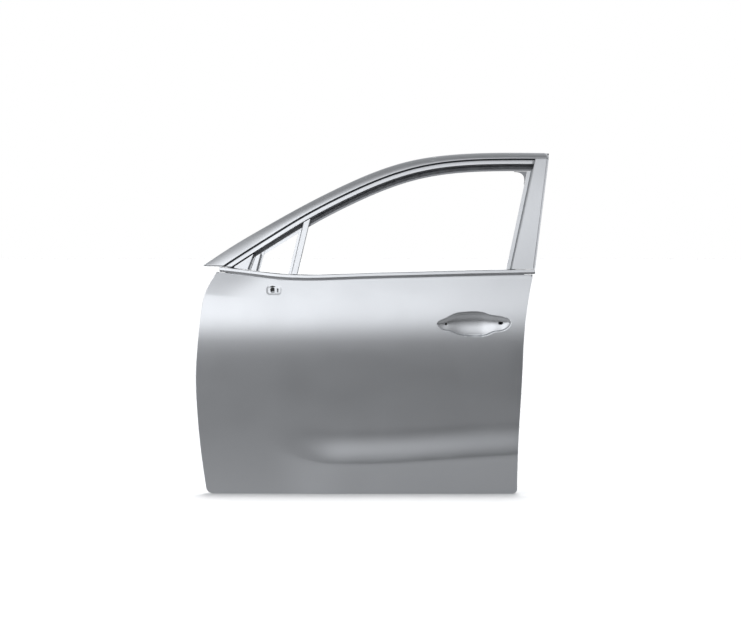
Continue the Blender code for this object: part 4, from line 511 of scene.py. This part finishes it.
def roll_belt(shape, edge, x):
    """Rolls the skin's top edge in, and hangs a flange from it between the two shut walls."""
    top, base = belt_height(x), on_skin(x, belt_height(x) - BELT_ROLL)
    rolled = []
    for k in range(1, 7):
        turn = math.pi / 2 * k / 6
        rolled.append((top - BELT_ROLL * (1 - math.sin(turn)), BELT_ROLL * 0.8 * (1 - math.cos(turn))))
    flange = BELT_FLANGE_DEPTH
    rolled.append((top, flange - 0.002))
    hanging = [(top - 0.0004, flange - 0.0008), (top - 0.0012, flange - 0.0002),
               (top - 0.002, flange), (top - BELT_FLANGE_HEIGHT, flange)]
    low = (belt_height(0.0) - HINGE_WALL_TOP) * HINGE_WALL_LEAN + BELT_FLANGE_MARGIN
    high = LATCH_WALL + (belt_height(1.0) - LATCH_WALL_TOP) * LATCH_WALL_LEAN - BELT_FLANGE_MARGIN
    inner = [i for i in range(len(x)) if low < x[i] < high]
    kept = list(range(len(x)))
    for k, (height, depth) in enumerate(rolled + hanging):
        if k == len(rolled):
            edge = [edge[i] for i in inner]
            kept = inner
        line = [shape.verts.new((x[i], base[i] + depth, height[i])) for i in kept]
        for i in range(len(kept) - 1):
            shape.faces.new((edge[i], edge[i + 1], line[i + 1], line[i]))
        edge = line


def fold_hem(shape, edge, x, z):
    """Folds the skin's free edge round the edge of the inner panel."""
    run = np.stack([np.gradient(x), np.gradient(z)], axis=1)
    run /= np.linalg.norm(run, axis=1)[:, None]
    normal = np.stack([-run[:, 1], run[:, 0]], axis=1)
    hem = 2 * SKIN_SHEET + PANEL_SHEET + 2 * HEM_GAP
    folds = []
    for k in range(1, 5):
        turn = math.pi * k / 4
        folds.append((-HEM_BULGE * math.sin(turn), hem / 2 * (1 - math.cos(turn))))
    folds.append((HEM_WIDTH, hem))
    for inset, depth in folds:
        fx, fz = x + normal[:, 0] * inset, z + normal[:, 1] * inset
        if inset > 0:
            fz[0] -= inset * HEM_TOP_SLOPE
            fz[-1] -= inset * HEM_TOP_SLOPE
        fy = on_skin(fx, fz, depth)
        line = [shape.verts.new(p) for p in zip(fx, fy, fz)]
        for i in range(len(line) - 1):
            shape.faces.new((edge[i], line[i], line[i + 1], edge[i + 1]))
        edge = line


def make_skin(finish):
    """The outer skin with its creases, hollows, holes, rolled belt and folded hem."""
    x, z = skin_grid()
    keep = punch_holes(x, z)
    y = on_skin(x, z, handle_hollow(x, z) + mirror_hollow(x, z))
    mesh = grid_mesh("outer_skin_sheet", np.stack([x, y, z], axis=-1), keep)
    shape = bmesh.new()
    shape.from_mesh(mesh)
    verts = list(shape.verts)
    ids = np.arange(x.size).reshape(x.shape)
    roll_belt(shape, [verts[i] for i in ids[:, 0]], x[:, 0])

    def border(grid):
        return np.concatenate([grid[0, :], grid[1:, -1], grid[-1, -2::-1]])

    fold_hem(shape, [verts[i] for i in border(ids)], border(x), border(z))
    loose = [v for v in shape.verts if not v.link_faces]
    bmesh.ops.delete(shape, geom=loose, context="VERTS")
    bmesh.ops.recalc_face_normals(shape, faces=shape.faces[:])
    shape.to_mesh(mesh)
    shape.free()
    turn_outwards(mesh)
    smooth(mesh, 40)
    obj = new_piece("skin_pressing", mesh, finish, SKIN_SHEET)
    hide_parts("outer_skin")
    return obj


def round_folds(section):
    """Rounds the corners of a section, whose first three numbers are share, reach and depth."""
    def flat(step):
        return np.array([step[0] * TYPICAL_BAND + step[1], step[2]])

    made = [section[0]]
    for before, here, after in zip(section, section[1:], section[2:]):
        back, ahead = before - here, after - here
        size_back, size_ahead = math.hypot(*flat(back)), math.hypot(*flat(ahead))
        bend = np.dot(flat(back), flat(ahead)) / (size_back * size_ahead)
        if bend < NEARLY_STRAIGHT:
            made.append(here)
            continue
        start = here + back * min(FOLD_SHARE, FOLD_RADIUS / size_back)
        end = here + ahead * min(FOLD_SHARE, FOLD_RADIUS / size_ahead)
        for t in spread(0, 1, FOLD_STEPS):
            made.append(start * (1 - t) ** 2 + here * 2 * t * (1 - t) + end * t**2)
    return made + [section[-1]]


def make_header_sash(finish, shade):
    """The roll-formed bar of the header with rounded folds, and painted shade in the groove between its
    bands.
    """
    face = GROOVE_WIDTH + FACE_WIDTH
    band = [(s, 0.0, BAND_ROLL * (1 - s) ** 2) for s in np.linspace(0, 1, 13)]
    lines = [(0.0, 0.0, SASH_WALL)] + band + [
        (1.0, 0.0, GROOVE_DEPTH), (1.0, GROOVE_WIDTH, GROOVE_DEPTH), (1.0, GROOVE_WIDTH, FACE_DEPTH),
        (1.0, face, FACE_DEPTH), (1.0, face, FACE_RETURN),
    ]
    run = PILLAR_TOP_EDGE[1] - PILLAR_BOTTOM_EDGE[1]

    def pillar_left(z):
        share = (z - PILLAR_BOTTOM_EDGE[1]) / run
        right = mix(PILLAR_BOTTOM_EDGE[0], PILLAR_TOP_EDGE[0], share)
        return right - mix(PILLAR_WIDTH_BOTTOM, PILLAR_WIDTH_TOP, share)

    section = []
    for i, (share, reach, depth) in enumerate(lines):
        def foot(s, share=share, reach=reach):
            x, z = header_place(s, share, reach)
            return min(z - belt_height(x) - RAIL_TOP - END_GAP, x - HEADER_EDGE[0][0])

        rest = max(0.0, HEADER_CORNER_RADIUS - share * header_band(HEADER_REAR))
        cut_back = HEADER_CORNER_RADIUS - math.sqrt(HEADER_CORNER_RADIUS**2 - rest**2)

        def rear(s, share=share, reach=reach, outer=i <= len(band), cut_back=cut_back):
            x, z = header_place(s, share, reach)
            return x - (HEADER_REAR - cut_back if outer else pillar_left(z) - PILLAR_SEAM)

        ends = crossing(foot, -0.10, 0.60), crossing(rear, 0.20, 1.20)
        section.append(np.array([share, reach, depth, *ends], float))
    rows = round_folds(section)
    stations = np.linspace(0, 1, 141)[:, None]
    share, reach, depth, start, end = np.array(rows).T
    x, z = header_place(mix(start, end, stations), share, reach)
    y = frame_depth(x, z) + depth * steepness(frame_depth, x, z)
    mesh = grid_mesh("header_sash_sheet", np.stack([x, y, z], axis=-1))
    smooth(mesh, 40)
    obj = new_piece("header_sash_rolled", mesh, finish, FRAME_SHEET)
    mesh.materials.append(shade)
    # The groove's faces take the second material, which is painted shade where the groove lies in shadow
    low = (reach[:-1] + reach[1:]) / 2 < GROOVE_WIDTH + 1e-6
    deep = np.minimum(depth[:-1], depth[1:]) > FACE_DEPTH + 0.0002
    dark = low & deep & ((share[:-1] + share[1:]) / 2 > 0.999)
    dark_rows = np.tile(dark, len(stations) - 1)
    for polygon, is_dark in zip(mesh.polygons, dark_rows):
        polygon.material_index = int(is_dark)
    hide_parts("header_sash")
    return obj


def tree_of(name):
    """A new material's nodes, with its Principled shader."""
    made = bpy.data.materials.new(name)
    made.use_nodes = True
    return made, made.node_tree, made.node_tree.nodes["Principled BSDF"]


def noise(tree, scale, detail=2.0, distortion=0.0):
    """A noise texture in the object's own metres."""
    place = tree.nodes.get("place")
    if place is None:
        place = tree.nodes.new("ShaderNodeTexCoord")
        place.name = "place"
    made = tree.nodes.new("ShaderNodeTexNoise")
    made.inputs["Scale"].default_value = scale
    made.inputs["Detail"].default_value = detail
    made.inputs["Distortion"].default_value = distortion
    tree.links.new(place.outputs["Object"], made.inputs["Vector"])
    return made


def ranged(tree, source, low, high):
    """Maps a noise, which mostly stays between 0.3 and 0.7, to a range."""
    made = tree.nodes.new("ShaderNodeMapRange")
    made.inputs["From Min"].default_value = 0.3
    made.inputs["From Max"].default_value = 0.7
    made.inputs["To Min"].default_value = low
    made.inputs["To Max"].default_value = high
    tree.links.new(source, made.inputs["Value"])
    return made.outputs["Result"]


def two_colours(tree, source, first, second):
    """Blends two colours by a noise."""
    ramp = tree.nodes.new("ShaderNodeValToRGB")
    ramp.color_ramp.elements[0].position = 0.32
    ramp.color_ramp.elements[0].color = (*first, 1)
    ramp.color_ramp.elements[1].position = 0.68
    ramp.color_ramp.elements[1].color = (*second, 1)
    tree.links.new(source, ramp.inputs["Fac"])
    return ramp.outputs["Color"]


def bump(tree, source, strength, distance):
    """Lifts the surface by a noise."""
    made = tree.nodes.new("ShaderNodeBump")
    made.inputs["Strength"].default_value = strength
    made.inputs["Distance"].default_value = distance
    tree.links.new(source, made.inputs["Height"])
    return made.outputs["Normal"]


def painted(name, dark, light, roughness, metallic, coat, flake=1800.0):
    """Sprayed metal: fine flakes in the colour, a slight orange peel and uneven gloss."""
    made, tree, shader = tree_of(name)
    shader.inputs["Metallic"].default_value = metallic
    shader.inputs["Coat Weight"].default_value = coat
    shader.inputs["Coat Roughness"].default_value = 0.12
    flakes = noise(tree, flake, 1.0)
    tree.links.new(two_colours(tree, flakes.outputs["Fac"], dark, light), shader.inputs["Base Color"])
    clouds = noise(tree, 7.0, 4.0, 0.4)
    gloss = ranged(tree, clouds.outputs["Fac"], roughness - 0.015, roughness + 0.02)
    tree.links.new(gloss, shader.inputs["Roughness"])
    peel = noise(tree, 160.0, 2.0)
    tree.links.new(bump(tree, peel.outputs["Fac"], 0.02, 0.001), shader.inputs["Normal"])
    return made


def rubber(name, dark, light, roughness):
    """Matt rubber with a slight bloom and fine drag marks."""
    made, tree, shader = tree_of(name)
    bloom = noise(tree, 35.0, 4.0, 0.6)
    tree.links.new(two_colours(tree, bloom.outputs["Fac"], dark, light), shader.inputs["Base Color"])
    tree.links.new(ranged(tree, bloom.outputs["Fac"], roughness - 0.06, roughness + 0.06),
                   shader.inputs["Roughness"])
    grain = noise(tree, 900.0, 2.0)
    tree.links.new(bump(tree, grain.outputs["Fac"], 0.10, 0.0005), shader.inputs["Normal"])
    return made


silver = painted("silver_lacquer", (0.64, 0.66, 0.69), (0.74, 0.76, 0.79), 0.30, 0.97, 0.35)
frame_silver = painted("frame_lacquer", (0.66, 0.68, 0.71), (0.76, 0.78, 0.81), 0.30, 0.97, 0.35)
# A darker copy of the frame's silver: painted shade on the rail and gusset behind the frame
shaded_silver = painted("painted_shade_lacquer", (0.29, 0.30, 0.32), (0.35, 0.36, 0.38), 0.36, 0.90, 0.1)
primer = painted("grey_primer", (0.42, 0.44, 0.46), (0.50, 0.52, 0.54), 0.46, 0.55, 0.0)
zinc = painted("zinc_plating", (0.60, 0.60, 0.57), (0.74, 0.73, 0.68), 0.36, 0.95, 0.0, 700.0)
# Black: the beam's coat, and painted shade on the plates seen through the skin's holes
dip_coat_and_painted_shade = painted("black_dip_coat_and_painted_shade", (0.025, 0.026, 0.028), (0.040, 0.041, 0.043), 0.42, 0.1, 0.1)
run_rubber = rubber("run_rubber", (0.075, 0.078, 0.085), (0.120, 0.125, 0.135), 0.55)
# Painted shade for the header's groove, darker than the lacquer round it
groove_painted_shade = painted("painted_groove_shade", (0.045, 0.048, 0.055), (0.075, 0.08, 0.09), 0.50, 0.2, 0.0)
mastic = rubber("mastic", (0.10, 0.095, 0.085), (0.17, 0.16, 0.145), 0.75)

FINISHES = {
    "body": frame_silver, "reinforcement": primer, "fastener": zinc, "beam": dip_coat_and_painted_shade,
    "glass_run": run_rubber, "sealer": mastic,
}
OWN_FINISHES = {
    # The mirror and handle plates are black as painted shade seen through the skin's holes
    "mirror_plate": dip_coat_and_painted_shade, "handle_plate": dip_coat_and_painted_shade, "glass_run_rear": primer,
    # The header rail and corner gusset take the darker silver as painted shade
    "header_rail": shaded_silver, "corner_gusset": shaded_silver,
}


def lighten_front(obj, finish):
    """Gives the rail the frame's lacquer over the quarter window, ahead of the division bar; behind it
    the rail keeps the darker silver of painted shade.
    """
    obj.data.materials.append(finish)
    for polygon in obj.data.polygons:
        polygon.material_index = int(polygon.center.x < DIVISION_PLACE)


def close_hole(obj, middle, radius):
    """Shuts a hole of a backing plate with a disc in the plate's black, which is painted shade where no
    light shows through the hole.
    """
    (x, z), mesh = middle, obj.data
    near = [v.co.y for v in mesh.vertices if math.hypot(v.co.x - x, v.co.z - z) < radius + 0.004]
    shape = bmesh.new()
    shape.from_mesh(mesh)
    ring = []
    for k in range(24):
        turn = 2 * math.pi * k / 24
        place = (x + radius * math.cos(turn), sum(near) / len(near), z + radius * math.sin(turn))
        ring.append(shape.verts.new(place))
    shape.faces.new(ring)
    shape.to_mesh(mesh)
    shape.free()


def dress(node, slot_name):
    """A copy of a CAD node with smooth faces and slightly round edges, which stands for it."""
    name = f"{node}_finished"
    shape = bmesh.new()
    shape.from_mesh(frame["nodes"][node].data)
    bmesh.ops.remove_doubles(shape, verts=shape.verts[:], dist=1e-5)
    bmesh.ops.dissolve_limit(
        shape, angle_limit=math.radians(0.4), verts=shape.verts[:], edges=shape.edges[:],
        delimit={"NORMAL"},
    )
    mesh = bpy.data.meshes.new(name)
    shape.to_mesh(mesh)
    shape.free()
    smooth(mesh, 30)
    obj = new_piece(name, mesh, OWN_FINISHES.get(node, FINISHES[slot_name]))
    bevel = obj.modifiers.new("edges", "BEVEL")
    bevel.width = EDGE_WIDTH
    bevel.segments = 2
    bevel.limit_method = "ANGLE"
    bevel.angle_limit = math.radians(32)
    bevel.use_clamp_overlap = True
    flat = obj.modifiers.new("flat_faces", "WEIGHTED_NORMAL")
    flat.mode = "FACE_AREA"
    flat.keep_sharp = True
    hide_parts(node)
    return obj


make_skin(silver)
make_header_sash(frame_silver, groove_painted_shade)
slots = {s["node"]: s["material_slot"] for s in frame["record"]["subparts"]}
for node in sorted(frame["nodes"]):
    if node not in ("outer_skin", "header_sash"):
        made = dress(node, slots[node])
        if node == "header_rail":
            lighten_front(made, frame_silver)
        if node == "handle_plate":
            close_hole(made, FRONT_PIVOT, 0.008)
        if node == "mirror_plate":
            close_hole(made, MIRROR_HOLE, 0.014)


def tent_level(elevation, azimuth):
    """Brightness of the tent by elevation and by azimuth in degrees, below zero towards the front."""
    if elevation > 0:
        stretch, across = min(2.2, max(0.62, 0.88 - 0.095 * azimuth)), read_table(TENT_SIDE, azimuth)
    else:
        stretch, across = 1.0, read_table(TENT_SIDE_BELOW, azimuth)
    fall = read_table(TENT_FALL, elevation) ** read_table(TENT_FALL_POWER, azimuth)
    level = read_table(TENT_RISE, elevation * stretch) * fall
    front = TENT_DARKEST + (level - TENT_DARKEST) * across
    return mix(front, read_table(TENT_BACK, elevation), float(blend((abs(azimuth) - 70) / 50)))


def make_tent():
    """A round tent of grey paper that only reflections see, darker near the horizon."""
    centre = Vector((0.5, 0.0, 0.0))
    shape = bmesh.new()
    colour = shape.verts.layers.float_color.new("glow")
    lines = []
    for elevation in range(-90, 91):
        flat, up = math.cos(math.radians(elevation)), math.sin(math.radians(elevation))
        line = []
        for j in range(TENT_SIDES):
            azimuth = 360 * j / TENT_SIDES - 180
            turn = math.radians(azimuth)
            offset = Vector((math.sin(turn) * flat, -math.cos(turn) * flat, up))
            value = tent_level(elevation - TENT_SINK, azimuth)
            vertex = shape.verts.new(centre + offset * TENT_RADIUS)
            vertex[colour] = (value, value * 1.005, value * 1.015, 1)
            line.append(vertex)
        lines.append(line)
    for first, second in zip(lines, lines[1:]):
        for j in range(TENT_SIDES):
            k = (j + 1) % TENT_SIDES
            shape.faces.new((first[j], first[k], second[k], second[j]))
    mesh = bpy.data.meshes.new("tent")
    shape.to_mesh(mesh)
    shape.free()
    tent = placed("tent", mesh)
    paper = bpy.data.materials.new("tent_paper")
    paper.use_nodes = True
    tree = paper.node_tree
    tree.nodes.clear()
    glow = tree.nodes.new("ShaderNodeEmission")
    glow.inputs["Strength"].default_value = 1.0
    source = tree.nodes.new("ShaderNodeAttribute")
    source.attribute_name = "glow"
    out = tree.nodes.new("ShaderNodeOutputMaterial")
    tree.links.new(source.outputs["Color"], glow.inputs["Color"])
    tree.links.new(glow.outputs["Emission"], out.inputs["Surface"])
    mesh.materials.append(paper)
    for seen in ("camera", "diffuse", "transmission", "shadow", "volume_scatter"):
        setattr(tent, f"visible_{seen}", False)


def make_floor():
    """The white floor, which takes the door's shadow and stays out of its reflections."""
    shape = bmesh.new()
    bmesh.ops.create_grid(shape, x_segments=1, y_segments=1, size=60.0)
    mesh = bpy.data.meshes.new("floor")
    shape.to_mesh(mesh)
    shape.free()
    floor = placed("floor", mesh)
    floor.location = (0.5, 0.0, BOTTOM_EDGE - 0.0008)
    floor.visible_glossy = False
    floor.visible_shadow = False
    made, _, shader = tree_of("white_floor")
    shader.inputs["Base Color"].default_value = (0.65, 0.65, 0.65, 1)
    shader.inputs["Roughness"].default_value = 0.9
    shader.inputs["Specular IOR Level"].default_value = 0.0
    mesh.materials.append(made)


def add_suns():
    """A tall, narrow glow from behind, which lays the door's short shadow on the floor."""
    for elevation, share in SUNS:
        light = bpy.data.lights.new("back_glow", "SUN")
        turn = math.radians(elevation)
        light.energy = SUN_ENERGY * share / math.sin(turn)
        light.angle = math.radians(SUN_ANGLE)
        lamp = placed("back_glow", light)
        lamp.location = (0.5, 3.0 * math.cos(turn), 3.0 * math.sin(turn))
        lamp.rotation_euler = (turn - math.pi / 2, 0, 0)
        lamp.visible_glossy = False


def make_world():
    """White to the camera and to reflections, and a soft bluish light to matt surfaces."""
    world = bpy.data.worlds.new("studio_air")
    world.use_nodes = True
    bpy.context.scene.world = world
    tree = world.node_tree
    tree.nodes.clear()
    rays = tree.nodes.new("ShaderNodeLightPath")
    white = tree.nodes.new("ShaderNodeBackground")
    white.inputs["Color"].default_value = (1, 1, 1, 1)
    white.inputs["Strength"].default_value = 1.0
    soft = tree.nodes.new("ShaderNodeBackground")
    soft.inputs["Color"].default_value = (0.93, 0.96, 1.0, 1)
    soft.inputs["Strength"].default_value = 0.62
    choose = tree.nodes.new("ShaderNodeMixShader")
    out = tree.nodes.new("ShaderNodeOutputWorld")
    either = None
    for kind in ("Is Camera Ray", "Is Glossy Ray", "Is Transmission Ray"):
        if either is None:
            either = rays.outputs[kind]
            continue
        higher = tree.nodes.new("ShaderNodeMath")
        higher.operation = "MAXIMUM"
        tree.links.new(either, higher.inputs[0])
        tree.links.new(rays.outputs[kind], higher.inputs[1])
        either = higher.outputs["Value"]
    tree.links.new(either, choose.inputs["Fac"])
    tree.links.new(soft.outputs["Background"], choose.inputs[1])
    tree.links.new(white.outputs["Background"], choose.inputs[2])
    tree.links.new(choose.outputs["Shader"], out.inputs["Surface"])


def add_key():
    """The key lamp, high outside the door and towards the front of the car."""
    light = bpy.data.lights.new("key", "AREA")
    light.shape = "RECTANGLE"
    light.size, light.size_y = 2.2, 1.4
    light.energy = 40.0
    light.color = (1.0, 0.99, 0.97)
    lamp = placed("key", light)
    place, target = Vector((-0.6, -2.6, 2.6)), Vector((0.5, 0, -0.1))
    lamp.location = place
    lamp.rotation_mode = "QUATERNION"
    lamp.rotation_quaternion = (target - place).to_track_quat("-Z", "Y")
    lamp.visible_glossy = False


def make_camera():
    """A long lens at the photograph's angle, straight at the door's outside."""
    camera = bpy.data.cameras.new("camera")
    camera.sensor_width = 36.0
    camera.lens = 36.0 * CAMERA_DISTANCE / CAMERA_WIDTH
    camera.clip_end = 100.0
    obj = placed("camera", camera)
    angle = math.radians(CAMERA_TILT)
    target = Vector((CAMERA_MIDDLE[0], 0.0, CAMERA_MIDDLE[1]))
    obj.location = target + CAMERA_DISTANCE * Vector((0, -math.cos(angle), math.sin(angle)))
    obj.rotation_euler = (math.pi / 2 - angle, 0, 0)
    bpy.context.scene.camera = obj


make_tent()
make_floor()
make_world()
add_key()
add_suns()
make_camera()
bpy.context.scene.view_settings.view_transform = "Standard"
